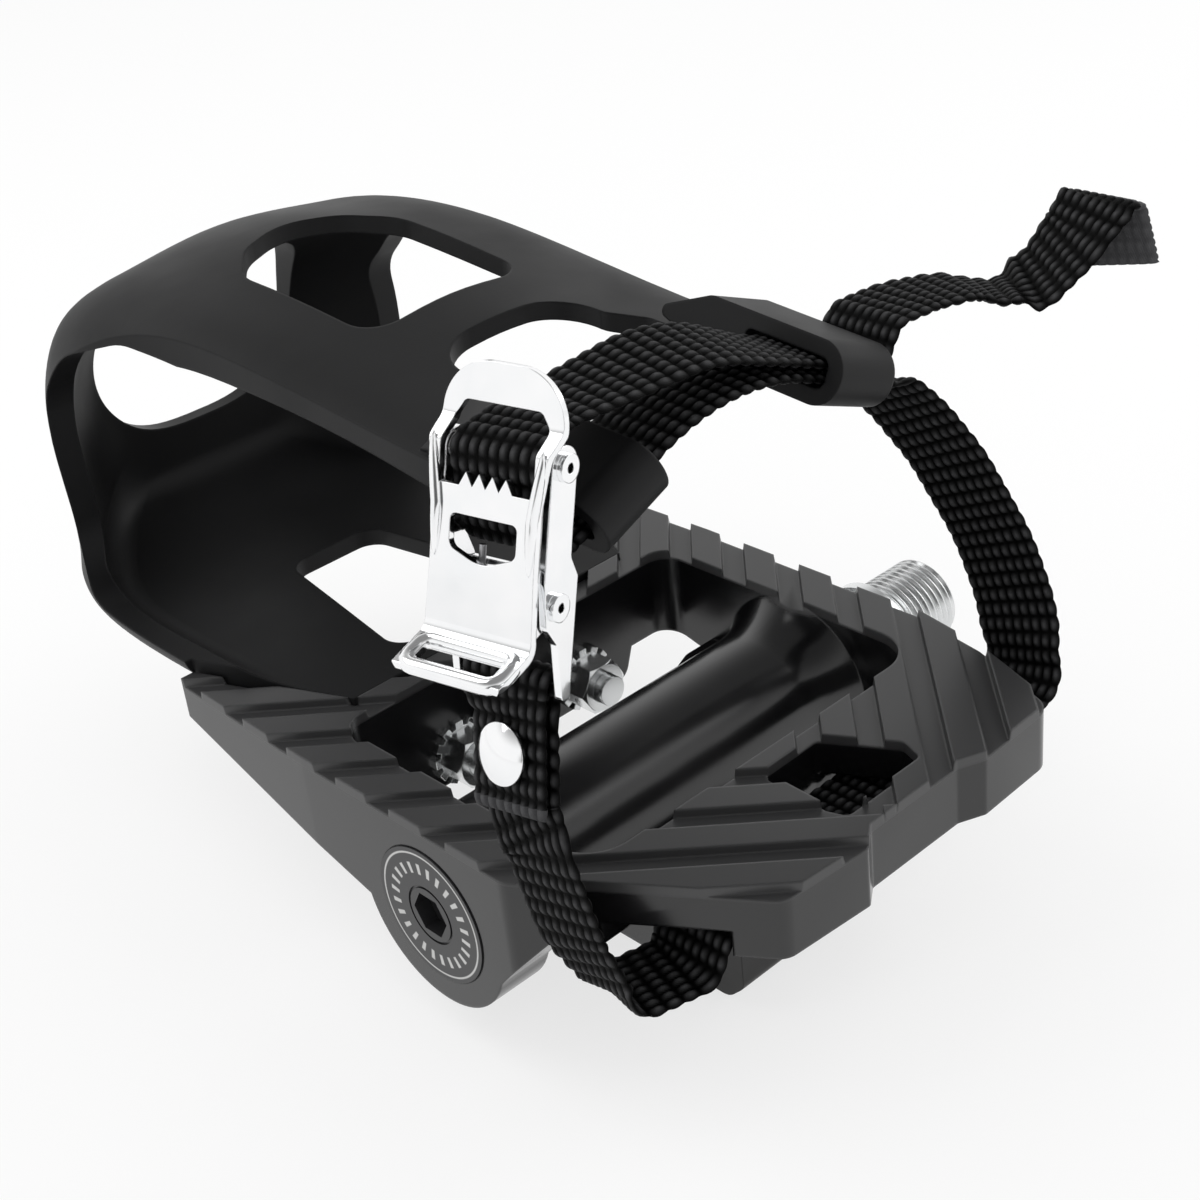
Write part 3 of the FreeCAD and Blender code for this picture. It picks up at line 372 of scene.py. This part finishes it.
def even_stations(stations, step):
    # the same line at even steps, so that every row of the weave starts on a station
    even = []
    k = 0
    for i in range(int(stations[-1][0] / step) + 1):
        while k + 2 < len(stations) and stations[k + 1][0] < i * step:
            k += 1
        a, b = stations[k], stations[k + 1]
        share = (i * step - a[0]) / (b[0] - a[0])
        heading = a[2].lerp(b[2], share).normalized()
        across = a[3].lerp(b[3], share)
        across = (across - heading * heading.dot(across)).normalized()
        even.append((i * step, a[1].lerp(b[1], share), heading, across))
    return even


def bead(share):
    # rounded rise and fall across one yarn
    return math.sqrt(max(0.0, 1.0 - (2.0 * share - 1.0) ** 2))


def woven_strap():
    # a grid wrapped round the web: its first half is the upper face, its second half the lower
    step = PICK_PITCH / STEPS_PER_PICK
    stations = even_stations(web_stations(strap_corners(), step / 2), step)
    length = stations[-1][0]
    rows = len(stations) - 1
    across_steps = WARP_COLUMNS * STEPS_PER_WARP
    bm = bmesh.new()
    web = bm.loops.layers.uv.new("web")
    bmesh.ops.create_grid(bm, x_segments=2 * across_steps, y_segments=rows, size=1.0)
    for face in bm.faces:
        for loop in face.loops:
            station = stations[round((loop.vert.co.y + 1) / 2 * rows)]
            loop[web].uv = ((loop.vert.co.x + 1) * STRAP_W * MM, station[0] * MM)
    for v in bm.verts:
        round_steps = (v.co.x + 1) * across_steps
        so_far, place, heading, across = stations[round((v.co.y + 1) / 2 * rows)]
        top = round_steps <= across_steps
        share = round_steps / across_steps if top else 2 - round_steps / across_steps
        sideways = 2 * share - 1
        in_tip = so_far > length - TIP_LENGTH
        pitch = PICK_PITCH / 2 if in_tip else PICK_PITCH
        depth = BEAD_DEPTH * (TIP_RELIEF if in_tip else 1.0)
        in_row = math.sin(math.pi * (round(so_far / step) * step / pitch % 1.0))
        rise = bead(share * WARP_COLUMNS % 1.0) * in_row
        edge = math.sqrt(max(0.0, 1.0 - sideways ** EDGE_SQUARENESS))
        thick = (STRAP_T / 2 - depth * (1.0 - rise)) * edge
        reach = sideways * STRAP_W / 2 * (1.0 - EDGE_SCALLOP * (1.0 - in_row) * sideways ** 4)
        normal = heading.cross(across)
        v.co = (place + across * reach + normal * (thick if top else -thick)) * MM
    bmesh.ops.remove_doubles(bm, verts=bm.verts, dist=0.01 * MM)
    close_holes(bm, bm.edges)
    bmesh.ops.recalc_face_normals(bm, faces=bm.faces)
    strap = finished_object("woven_strap", bm, "platform", stands_for="strap")
    strap.data.shade_smooth()
    return strap, length


# buckle

def tab_roll(bm):
    # the rounded frame of the finger tab: a round section drawn along its sides and turned at its corners
    quarter = math.radians(90)
    ring = bmesh.ops.create_circle(bm, segments=TAB_ROLL_SIDES, radius=TAB_ROLL_R)["verts"]
    bmesh.ops.rotate(bm, verts=ring, cent=(0, 0, 0), matrix=Matrix.Rotation(quarter, 3, "X"))
    bmesh.ops.translate(bm, verts=ring, vec=TAB_ROOT)
    section = list(dict.fromkeys(e for v in ring for e in v.link_edges))
    heading, inward = Vector((0, 1, 0)), Vector(TAB_SLOPE).normalized()
    half = TAB_HALF_W - TAB_CORNER_R
    side = TAB_LENGTH - 2 * TAB_CORNER_R
    runs = (half, side, 2 * half, side, half)
    for turn, run in enumerate(runs):
        drawn = bmesh.ops.extrude_edge_only(bm, edges=section)["geom"]
        ends = [g for g in drawn if isinstance(g, bmesh.types.BMVert)]
        bmesh.ops.translate(bm, verts=ends, vec=heading * run)
        section = [g for g in drawn if isinstance(g, bmesh.types.BMEdge) and all(v in ends for v in g.verts)]
        if turn + 1 == len(runs):
            break
        middle = sum((v.co for v in ends), Vector()) / len(ends)
        turned = bmesh.ops.spin(bm, geom=section, cent=middle + inward * TAB_CORNER_R,
                                axis=heading.cross(inward), angle=quarter, steps=TAB_CORNER_STEPS,
                                use_merge=False, use_normal_flip=False, use_duplicate=False,
                                dvec=(0, 0, 0))["geom_last"]
        section = [g for g in turned if isinstance(g, bmesh.types.BMEdge)]
        heading, inward = inward, -heading
    bmesh.ops.remove_doubles(bm, verts=bm.verts, dist=0.02)


def lever_ribs():
    # a long bead pressed out of the plate along each side of the lever, and the rolled tab
    lower, across, up, out, _ = buckle_frame()
    bm = bmesh.new()
    for side in (-1, 1):
        made = bmesh.ops.create_uvsphere(bm, u_segments=RIB_SIDES, v_segments=RIB_RINGS, radius=1.0)["verts"]
        bmesh.ops.scale(bm, verts=made, vec=(RIB_RISE, RIB_HALF_W, RIB_HALF_LENGTH))
        bmesh.ops.translate(bm, verts=made, vec=(LEVER_FACE_X, side * RIB_Y, RIB_MID_Z))
        for v in made:
            # the ribs lean out toward the wide head
            spread = max(0.0, (v.co.z - HEAD_FLARE_Z) / HEAD_FLARE_LENGTH)
            v.co.y += side * HEAD_FLARE * min(1.0, spread)
    tab_roll(bm)
    turned = Matrix((out, across, up)).transposed()
    for v in bm.verts:
        v.co = (lower + turned @ v.co) * MM
    bmesh.ops.recalc_face_normals(bm, faces=bm.faces)
    ribs = finished_object("lever_ribs", bm, "lever")
    ribs.data.shade_smooth()
    return ribs


# spindle

def thread_screw():
    # the thread runs past both ends and is cut flush, with a chamfer at its free end
    screw = bmesh.new()
    turns = round((SPINDLE_END_X - THREAD_START_X) / THREAD_PITCH) + 4
    first = THREAD_START_X - 2 * THREAD_PITCH
    profile = []
    for k in range(turns):
        for along, deep in THREAD_TOOTH:
            x = first + (k + along) * THREAD_PITCH
            profile.append(screw.verts.new((x * MM, (THREAD_R - THREAD_DEPTH * deep) * MM, 0)))
    edges = [screw.edges.new(pair) for pair in zip(profile, profile[1:])]
    # a full turn ends one pitch along, so each tooth is joined to the next and not to its own start
    bmesh.ops.spin(screw, geom=profile + edges, axis=(1, 0, 0), cent=(0, 0, 0), angle=2 * math.pi,
                   steps=THREAD_STEPS, dvec=(THREAD_PITCH * MM / THREAD_STEPS, 0, 0), use_merge=False)
    bmesh.ops.remove_doubles(screw, verts=screw.verts, dist=0.01 * MM)
    for x, outside in ((THREAD_START_X, False), (SPINDLE_END_X, True)):
        bmesh.ops.bisect_plane(screw, geom=all_of(screw), plane_co=(x * MM, 0, 0), plane_no=(1, 0, 0),
                               clear_outer=outside, clear_inner=not outside)
        close_holes(screw, [e for e in screw.edges if abs(e.verts[0].co.x - x * MM) < ON_CUT * MM])
    for v in screw.verts:
        limit = (THREAD_R - max(0.0, v.co.x / MM - (SPINDLE_END_X - THREAD_END_CHAMFER))) * MM
        reach = math.hypot(v.co.y, v.co.z)
        if reach > limit:
            v.co.y *= limit / reach
            v.co.z *= limit / reach
    bmesh.ops.recalc_face_normals(screw, faces=screw.faces)
    return mesh_from("thread", screw)


def threaded_spindle():
    bm = bmesh.new()
    bm.from_mesh(nodes["spindle"].data)
    bmesh.ops.remove_doubles(bm, verts=bm.verts, dist=0.001 * MM)
    bmesh.ops.bisect_plane(bm, geom=all_of(bm), plane_co=(THREAD_START_X * MM, 0, 0), plane_no=(1, 0, 0),
                           clear_outer=True)
    close_holes(bm, bm.edges)
    bm.from_mesh(thread_screw())
    spindle = finished_object("threaded_spindle", bm, "spindle_group", stands_for="spindle")
    shade_by_angle(spindle.data, 28)
    return spindle


# casting

def groove_bars(side):
    # flat-floored bars that widen the tread grooves on one side of the middle
    bm = bmesh.new()
    slanted = Matrix.Rotation(GROOVE_ANGLE, 3, "Z")
    for k in range(GROOVES_FIRST, GROOVES_LAST):
        made = bmesh.ops.create_cube(bm, size=1.0)["verts"]
        bmesh.ops.scale(bm, verts=made, vec=(GROOVE_SPAN, GROOVE_FLOOR_W, 2 * GROOVE_DEPTH))
        top = [v for v in made if v.co.z > 0]
        bmesh.ops.scale(bm, verts=top, vec=(1, GROOVE_TOP_W / GROOVE_FLOOR_W, 1))
        bmesh.ops.translate(bm, verts=made, vec=(GROOVE_SPAN / 2, 0, TREAD_Z))
        bmesh.ops.rotate(bm, verts=made, cent=(0, 0, 0), matrix=slanted)
        start_y = k * GROOVE_PITCH / math.cos(GROOVE_ANGLE) + GROOVE_FIRST_Y
        bmesh.ops.translate(bm, verts=made, vec=(0, start_y, 0))
    bmesh.ops.scale(bm, verts=bm.verts, vec=(side, 1, 1))
    bmesh.ops.translate(bm, verts=bm.verts, vec=(MID_X, 0, 0))
    bmesh.ops.scale(bm, verts=bm.verts, vec=(MM, MM, MM))
    bmesh.ops.recalc_face_normals(bm, faces=bm.faces)
    return linked_object("groove_bars", mesh_from("groove_bars", bm))


def tread_body():
    # the casting with its tread grooves at their full width
    bm = bmesh.new()
    bm.from_mesh(nodes["pedal_body"].data)
    bmesh.ops.remove_doubles(bm, verts=bm.verts, dist=0.002 * MM)
    body = finished_object("tread_body", bm, "platform", stands_for="pedal_body")
    cutters = [groove_bars(side) for side in (-1, 1)]
    for cutter in cutters:
        cut = body.modifiers.new("groove", "BOOLEAN")
        cut.operation = "DIFFERENCE"
        cut.solver = "EXACT"
        cut.object = cutter
    shown = body.evaluated_get(bpy.context.evaluated_depsgraph_get())
    grooved = bpy.data.meshes.new_from_object(shown)
    body.modifiers.clear()
    body.data = grooved
    for cutter in cutters:
        bpy.data.objects.remove(cutter)
    shade_by_angle(grooved, 30)
    return body


# nodes that the finishes share

def math_node(tree, operation, a, b=None, c=None):
    node = tree.nodes.new("ShaderNodeMath")
    node.operation = operation
    for socket, value in zip(node.inputs, (a, b, c)):
        if value is None:
            continue
        if isinstance(value, (int, float)):
            socket.default_value = value
        else:
            tree.links.new(value, socket)
    return node.outputs[0]


def times(tree, a, b):
    return math_node(tree, "MULTIPLY", a, b)


def greater(tree, a, b):
    return math_node(tree, "MAXIMUM", a, b)


def ramp(tree, value, given, wanted, smooth=False):
    # the range given becomes the range wanted
    node = tree.nodes.new("ShaderNodeMapRange")
    if smooth:
        node.interpolation_type = "SMOOTHSTEP"
    for name, number in zip(("From Min", "From Max", "To Min", "To Max"), (*given, *wanted)):
        node.inputs[name].default_value = number
    tree.links.new(value, node.inputs["Value"])
    return node.outputs["Result"]


def mixed_colour(tree, share, first, second):
    # first is a colour or a socket, second a colour
    node = tree.nodes.new("ShaderNodeMix")
    node.data_type = "RGBA"
    tree.links.new(share, node.inputs["Factor"])
    if isinstance(first, tuple):
        node.inputs["A"].default_value = (*first, 1)
    else:
        tree.links.new(first, node.inputs["A"])
    node.inputs["B"].default_value = (*second, 1)
    return node.outputs["Result"]


def band(tree, value, low, high, blur):
    # 1 between low and high, fading over blur
    sides = []
    for a, b in ((value, low), (high, value)):
        inside = math_node(tree, "DIVIDE", math_node(tree, "SUBTRACT", a, b), blur)
        sides.append(math_node(tree, "SMOOTH_MIN", inside, 1.0, 0.1))
    both = math_node(tree, "MINIMUM", *sides)
    both.node.use_clamp = True
    return both


def axes_of(tree, coordinates):
    split = tree.nodes.new("ShaderNodeSeparateXYZ")
    tree.links.new(coordinates, split.inputs["Vector"])
    return split.outputs


def object_axes(tree):
    return axes_of(tree, tree.nodes.new("ShaderNodeTexCoord").outputs["Object"])


def looked_at(tree):
    # rays from the camera, and those with the rays that mirrors and glass send on
    path = tree.nodes.new("ShaderNodeLightPath")
    camera = path.outputs["Is Camera Ray"]
    sent_on = greater(tree, path.outputs["Is Glossy Ray"], path.outputs["Is Transmission Ray"])
    return camera, greater(tree, camera, sent_on)


def new_material(name):
    material = bpy.data.materials.new(name)
    material.use_nodes = True
    return material, material.node_tree, material.node_tree.nodes["Principled BSDF"]


# finishes

def surface_mottle():
    # slow and fine variation over a surface: a mask from 0 to 1 and a height for bump
    group = bpy.data.node_groups.new("surface_mottle", "ShaderNodeTree")
    for name, value in (("Patch Scale", 60.0), ("Grain Scale", 2200.0)):
        socket = group.interface.new_socket(name, in_out="INPUT", socket_type="NodeSocketFloat")
        socket.default_value = value
    group.interface.new_socket("Mask", in_out="OUTPUT", socket_type="NodeSocketFloat")
    group.interface.new_socket("Height", in_out="OUTPUT", socket_type="NodeSocketFloat")
    given = group.nodes.new("NodeGroupInput")
    out = group.nodes.new("NodeGroupOutput")
    where = group.nodes.new("ShaderNodeTexCoord")
    noises = []
    for scale, detail in (("Patch Scale", 6.0), ("Grain Scale", 3.0)):
        noise = group.nodes.new("ShaderNodeTexNoise")
        noise.inputs["Detail"].default_value = detail
        group.links.new(where.outputs["Object"], noise.inputs["Vector"])
        group.links.new(given.outputs[scale], noise.inputs["Scale"])
        noises.append(noise.outputs["Fac"])
    group.links.new(ramp(group, noises[0], (0.32, 0.68), (0.0, 1.0)), out.inputs["Mask"])
    group.links.new(noises[1], out.inputs["Height"])
    return group


MOTTLE = surface_mottle()


def finish(name, dark, light, rough, metal=0.0, patch=60.0, grain=2200.0, bump=0.05, bump_mm=0.05,
           specular=0.5, edge_mm=0.0):
    material, tree, shader = new_material(name)
    shader.inputs["Metallic"].default_value = metal
    shader.inputs["Specular IOR Level"].default_value = specular
    mottle = tree.nodes.new("ShaderNodeGroup")
    mottle.node_tree = MOTTLE
    mottle.inputs["Patch Scale"].default_value = patch
    mottle.inputs["Grain Scale"].default_value = grain
    mask = mottle.outputs["Mask"]
    relief = tree.nodes.new("ShaderNodeBump")
    relief.inputs["Strength"].default_value = bump
    relief.inputs["Distance"].default_value = bump_mm * MM
    tree.links.new(mottle.outputs["Height"], relief.inputs["Height"])
    if edge_mm:
        # light catches on edges as if they were slightly rounded
        edge = tree.nodes.new("ShaderNodeBevel")
        edge.samples = 6
        edge.inputs["Radius"].default_value = edge_mm * MM
        tree.links.new(edge.outputs["Normal"], relief.inputs["Normal"])
    tree.links.new(mixed_colour(tree, mask, dark, light), shader.inputs["Base Color"])
    tree.links.new(ramp(tree, mask, (0.0, 1.0), rough), shader.inputs["Roughness"])
    tree.links.new(relief.outputs["Normal"], shader.inputs["Normal"])
    return material


def add_satin_and_painted_light_tread(material):
    # the tread faces are blasted and less glossy than the rest of the casting; painted light from above makes
    # them paler
    tree = material.node_tree
    shader = tree.nodes["Principled BSDF"]
    groove_floor = TREAD_Z - GROOVE_DEPTH
    on_tread = ramp(tree, object_axes(tree)["Z"], ((groove_floor - SATIN_AND_PAINTED_LIGHT_FADE) * MM, groove_floor * MM),
                    (0.0, 1.0))
    # the paler colour is painted light from above; the higher roughness is the satin finish
    for socket, satin_and_painted_light in (("Base Color", (0.034, 0.034, 0.035, 1)), ("Roughness", 0.4)):
        mix = tree.nodes.new("ShaderNodeMix")
        mix.data_type = "RGBA" if socket == "Base Color" else "FLOAT"
        share, glossy, tread_value = [i for i in mix.inputs if i.enabled]
        tread_value.default_value = satin_and_painted_light
        tree.links.new(on_tread, share)
        tree.links.new(shader.inputs[socket].links[0].from_socket, glossy)
        tree.links.new([o for o in mix.outputs if o.enabled][0], shader.inputs[socket])


def cap_finish():
    # black cap face with a plain ring of printed marks round the socket
    material = finish("cap_paint", (0.014, 0.014, 0.015), (0.022, 0.022, 0.024), (0.3, 0.42), bump=0.03)
    tree = material.node_tree
    axes = object_axes(tree)
    y, z = axes["Y"], axes["Z"]
    reach = math_node(tree, "SQRT", math_node(tree, "ADD", times(tree, y, y), times(tree, z, z)))
    turn = math_node(tree, "ADD", math_node(tree, "ARCTAN2", z, y), math.pi)
    wave = math_node(tree, "FRACT", times(tree, turn, CAP_MARKS / math.tau))
    rings = [band(tree, reach, low * MM, high * MM, PRINT_BLUR * MM)
             for low, high in (CAP_MARK_R, CAP_RING_R)]
    dashes = times(tree, band(tree, wave, *CAP_MARK_SHARE, 0.06), rings[0])
    on_face = math_node(tree, "LESS_THAN", axes["X"], (CAP_FACE_X + CAP_PRINT_DEPTH) * MM)
    print_mask = times(tree, greater(tree, dashes, rings[1]), on_face)
    base = tree.nodes["Principled BSDF"].inputs["Base Color"]
    tree.links.new(mixed_colour(tree, print_mask, base.links[0].from_socket, (0.55, 0.55, 0.54)), base)
    return material


def webbing_finish(length):
    # black yarn with fine twist lines and painted shade between the beads, paler where the ends are sealed
    material, tree, shader = new_material("webbing_black")
    shader.inputs["Specular IOR Level"].default_value = 0.06
    where = tree.nodes.new("ShaderNodeUVMap")
    where.uv_map = "web"
    axes = axes_of(tree, where.outputs["UV"])
    across, along = axes["X"], axes["Y"]
    fuzz = tree.nodes.new("ShaderNodeTexNoise")
    fuzz.inputs["Scale"].default_value = 1500.0
    fuzz.inputs["Detail"].default_value = 4.0
    tree.links.new(where.outputs["UV"], fuzz.inputs["Vector"])
    # twisted filaments run at a slant across each yarn
    slant = math_node(tree, "ADD", across, times(tree, along, TWIST_SLANT))
    twist = math_node(tree, "SINE", times(tree, slant, math.tau / (TWIST_PITCH * MM)))
    relief = tree.nodes.new("ShaderNodeBump")
    relief.inputs["Strength"].default_value = 0.35
    relief.inputs["Distance"].default_value = 0.12 * MM
    height = math_node(tree, "ADD", times(tree, twist, TWIST_HEIGHT), fuzz.outputs["Fac"])
    tree.links.new(height, relief.inputs["Height"])
    tree.links.new(relief.outputs["Normal"], shader.inputs["Normal"])
    # painted shade between the beads, painted light on their crowns
    waves = []
    for way, pitch in ((along, PICK_PITCH), (across, STRAP_W / WARP_COLUMNS)):
        wave = math_node(tree, "SINE", times(tree, way, math.pi / (pitch * MM)))
        waves.append(math_node(tree, "ABSOLUTE", wave))
    painted_bead_shade_mask = math_node(tree, "POWER", times(tree, *waves), 2.0)
    painted_bead_light = times(tree, painted_bead_shade_mask, math_node(tree, "ADD", fuzz.outputs["Fac"], PAINTED_LIGHT_FUZZ_LIFT))
    yarn_with_painted_shade = mixed_colour(tree, painted_bead_light, (0.0006, 0.0006, 0.0006), (0.056, 0.056, 0.058))
    tip = math_node(tree, "GREATER_THAN", along, (length - TIP_LENGTH) * MM)
    seal = math_node(tree, "LESS_THAN", along, SEALED_ROW * MM)
    pale = greater(tree, times(tree, tip, TIP_PALENESS), times(tree, seal, SEAL_PALENESS))
    tree.links.new(mixed_colour(tree, pale, yarn_with_painted_shade, (0.11, 0.11, 0.115)), shader.inputs["Base Color"])
    tree.links.new(ramp(tree, fuzz.outputs["Fac"], (0.0, 1.0), (0.42, 0.62)), shader.inputs["Roughness"])
    return material


def dress(piece, material):
    piece.data.materials.clear()
    piece.data.materials.append(material)


def dress_all(strap, strap_length, spindle, body, ribs):
    # dark and light colour, range of roughness, then what differs from the plain finish
    cast = finish("cast_gloss_black", (0.003, 0.003, 0.0035), (0.006, 0.006, 0.0065), (0.16, 0.26),
                  patch=45, grain=1500, bump=0.05, bump_mm=0.06, specular=0.65, edge_mm=0.5)
    add_satin_and_painted_light_tread(cast)
    nylon = finish("moulded_nylon_black", (0.004, 0.004, 0.0045), (0.007, 0.007, 0.0075), (0.44, 0.58),
                   patch=38, grain=3200, bump=0.16, bump_mm=0.06, specular=0.22, edge_mm=0.5)
    chrome = finish("bright_plate", (0.9, 0.91, 0.92), (0.96, 0.96, 0.965), (0.05, 0.13), metal=1.0,
                    patch=150, grain=900, bump=0.02, bump_mm=0.05, edge_mm=0.22)
    zinc = finish("zinc_plate", (0.72, 0.735, 0.74), (0.83, 0.84, 0.84), (0.2, 0.3), metal=1.0,
                  patch=90, grain=2600, bump=0.04, bump_mm=0.04, edge_mm=0.2)
    jaw = finish("blackened_steel", (0.006, 0.006, 0.006), (0.014, 0.0135, 0.013), (0.32, 0.5),
                 patch=120, grain=2400, bump=0.05, bump_mm=0.04, specular=0.35, edge_mm=0.3)
    spring = finish("drawn_wire", (0.3, 0.3, 0.31), (0.46, 0.46, 0.47), (0.25, 0.4), metal=1.0, patch=300)
    bearing = finish("ground_steel", (0.55, 0.55, 0.56), (0.68, 0.68, 0.69), (0.1, 0.2), metal=1.0, patch=200)
    acetal = finish("bush_acetal", (0.5, 0.49, 0.46), (0.58, 0.57, 0.54), (0.35, 0.5), patch=90)
    rubber = finish("seal_rubber", (0.016, 0.016, 0.017), (0.024, 0.024, 0.025), (0.55, 0.7),
                    patch=80, bump=0.1)
    finishes = {
        cap_finish(): ("dust_cap",),
        nylon: ("toe_clip",),
        chrome: ("buckle_frame", "buckle_lever", "buckle_roller", "buckle_roller_pin", "buckle_pivot_pin",
                 "strap_rivet", "strap_rivet_washer"),
        zinc: ("toe_clip_bolts", "lock_washers", "toe_clip_nuts", "spindle_washer", "spindle_nut",
               "tension_screw", "front_jaw_screws", "jaw_pin"),
        jaw: ("front_jaw", "rear_jaw", "tension_plate"),
        spring: ("jaw_springs", "buckle_spring"),
        bearing: ("bearing_inner_race", "bearing_outer_race", "bearing_balls"),
        acetal: ("inner_bush",),
        rubber: ("inner_seal",),
    }
    for material, names in finishes.items():
        for name in names:
            dress(nodes[name], material)
    dress(strap, webbing_finish(strap_length))
    dress(spindle, zinc)
    dress(body, cast)
    dress(ribs, chrome)


# stage

def make_floor():
    bm = bmesh.new()
    bmesh.ops.create_grid(bm, x_segments=1, y_segments=1, size=FLOOR_HALF)
    bmesh.ops.translate(bm, verts=bm.verts, vec=(0, 0, FLOOR_Z - FLOOR_GAP * MM))
    floor = linked_object("floor", mesh_from("floor", bm))
    paper, tree, shader = new_material("white_paper")
    shader.inputs["Base Color"].default_value = (0.93, 0.93, 0.93, 1)
    shader.inputs["Roughness"].default_value = 0.9
    shader.inputs["Specular IOR Level"].default_value = 0.1
    # part of the floor is plain white to the eye, and the rest keeps the shadow
    bright = tree.nodes.new("ShaderNodeEmission")
    _, seen = looked_at(tree)
    mix = tree.nodes.new("ShaderNodeMixShader")
    tree.links.new(times(tree, seen, FLOOR_WHITE), mix.inputs["Fac"])
    tree.links.new(shader.outputs["BSDF"], mix.inputs[1])
    tree.links.new(bright.outputs["Emission"], mix.inputs[2])
    tree.links.new(mix.outputs["Shader"], tree.nodes["Material Output"].inputs["Surface"])
    dress(floor, paper)


def make_world():
    world = bpy.data.worlds.new("studio")
    bpy.context.scene.world = world
    world.use_nodes = True
    tree = world.node_tree
    soft = tree.nodes["Background"]
    soft.inputs["Color"].default_value = (1, 1, 1, 1)
    soft.inputs["Strength"].default_value = SOFT_LIGHT
    seen = tree.nodes.new("ShaderNodeBackground")
    seen.inputs["Color"].default_value = (1, 1, 1, 1)
    camera, either = looked_at(tree)
    # mirrors see white walls under a grey ceiling, and an unlit end that draws the edges of bright metal
    way = axes_of(tree, tree.nodes.new("ShaderNodeTexCoord").outputs["Generated"])
    ceiling = ramp(tree, way["Z"], CEILING_RISE, (1.0, CEILING_GREY), smooth=True)
    toward = math_node(tree, "ADD", times(tree, way["X"], UNLIT_END[0]), times(tree, way["Y"], UNLIT_END[1]))
    unlit = ramp(tree, toward, UNLIT_EDGE, (1.0, UNLIT_GREY), smooth=True)
    mirrored = math_node(tree, "MINIMUM", ceiling, unlit)
    tree.links.new(greater(tree, mirrored, camera), seen.inputs["Strength"])
    mix = tree.nodes.new("ShaderNodeMixShader")
    tree.links.new(either, mix.inputs["Fac"])
    tree.links.new(soft.outputs["Background"], mix.inputs[1])
    tree.links.new(seen.outputs["Background"], mix.inputs[2])
    tree.links.new(mix.outputs["Shader"], tree.nodes["World Output"].inputs["Surface"])


def make_lamps():
    for name, offset, side, watts in SOFT_BOXES:
        lamp = bpy.data.lights.new(name, "AREA")
        lamp.shape = "SQUARE"
        lamp.size = side
        lamp.energy = watts
        holder = linked_object(name, lamp)
        holder.location = MIDDLE + Vector(offset)
        holder.rotation_euler = (-Vector(offset)).to_track_quat("-Z", "Y").to_euler()


def make_camera():
    lens = bpy.data.cameras.new("camera")
    lens.sensor_width = SENSOR_MM
    lens.lens = FOCAL_PIXELS / IMAGE_SIDE * SENSOR_MM
    lens.clip_start = 0.01
    lens.clip_end = 20.0
    camera = linked_object("camera", lens)
    turned = Matrix((CAMERA_RIGHT, CAMERA_UP, CAMERA_BACK)).transposed()
    camera.matrix_world = Matrix.Translation(Vector(CAMERA_PLACE) * MM) @ turned.to_4x4()
    bpy.context.scene.camera = camera


bpy.context.scene.view_settings.view_transform = "Standard"
strap_piece, strap_length = woven_strap()
spindle_piece = threaded_spindle()
body_piece = tread_body()
dress_all(strap_piece, strap_length, spindle_piece, body_piece, lever_ribs())
make_floor()
make_world()
make_lamps()
make_camera()

bpy.context.view_layer.update()
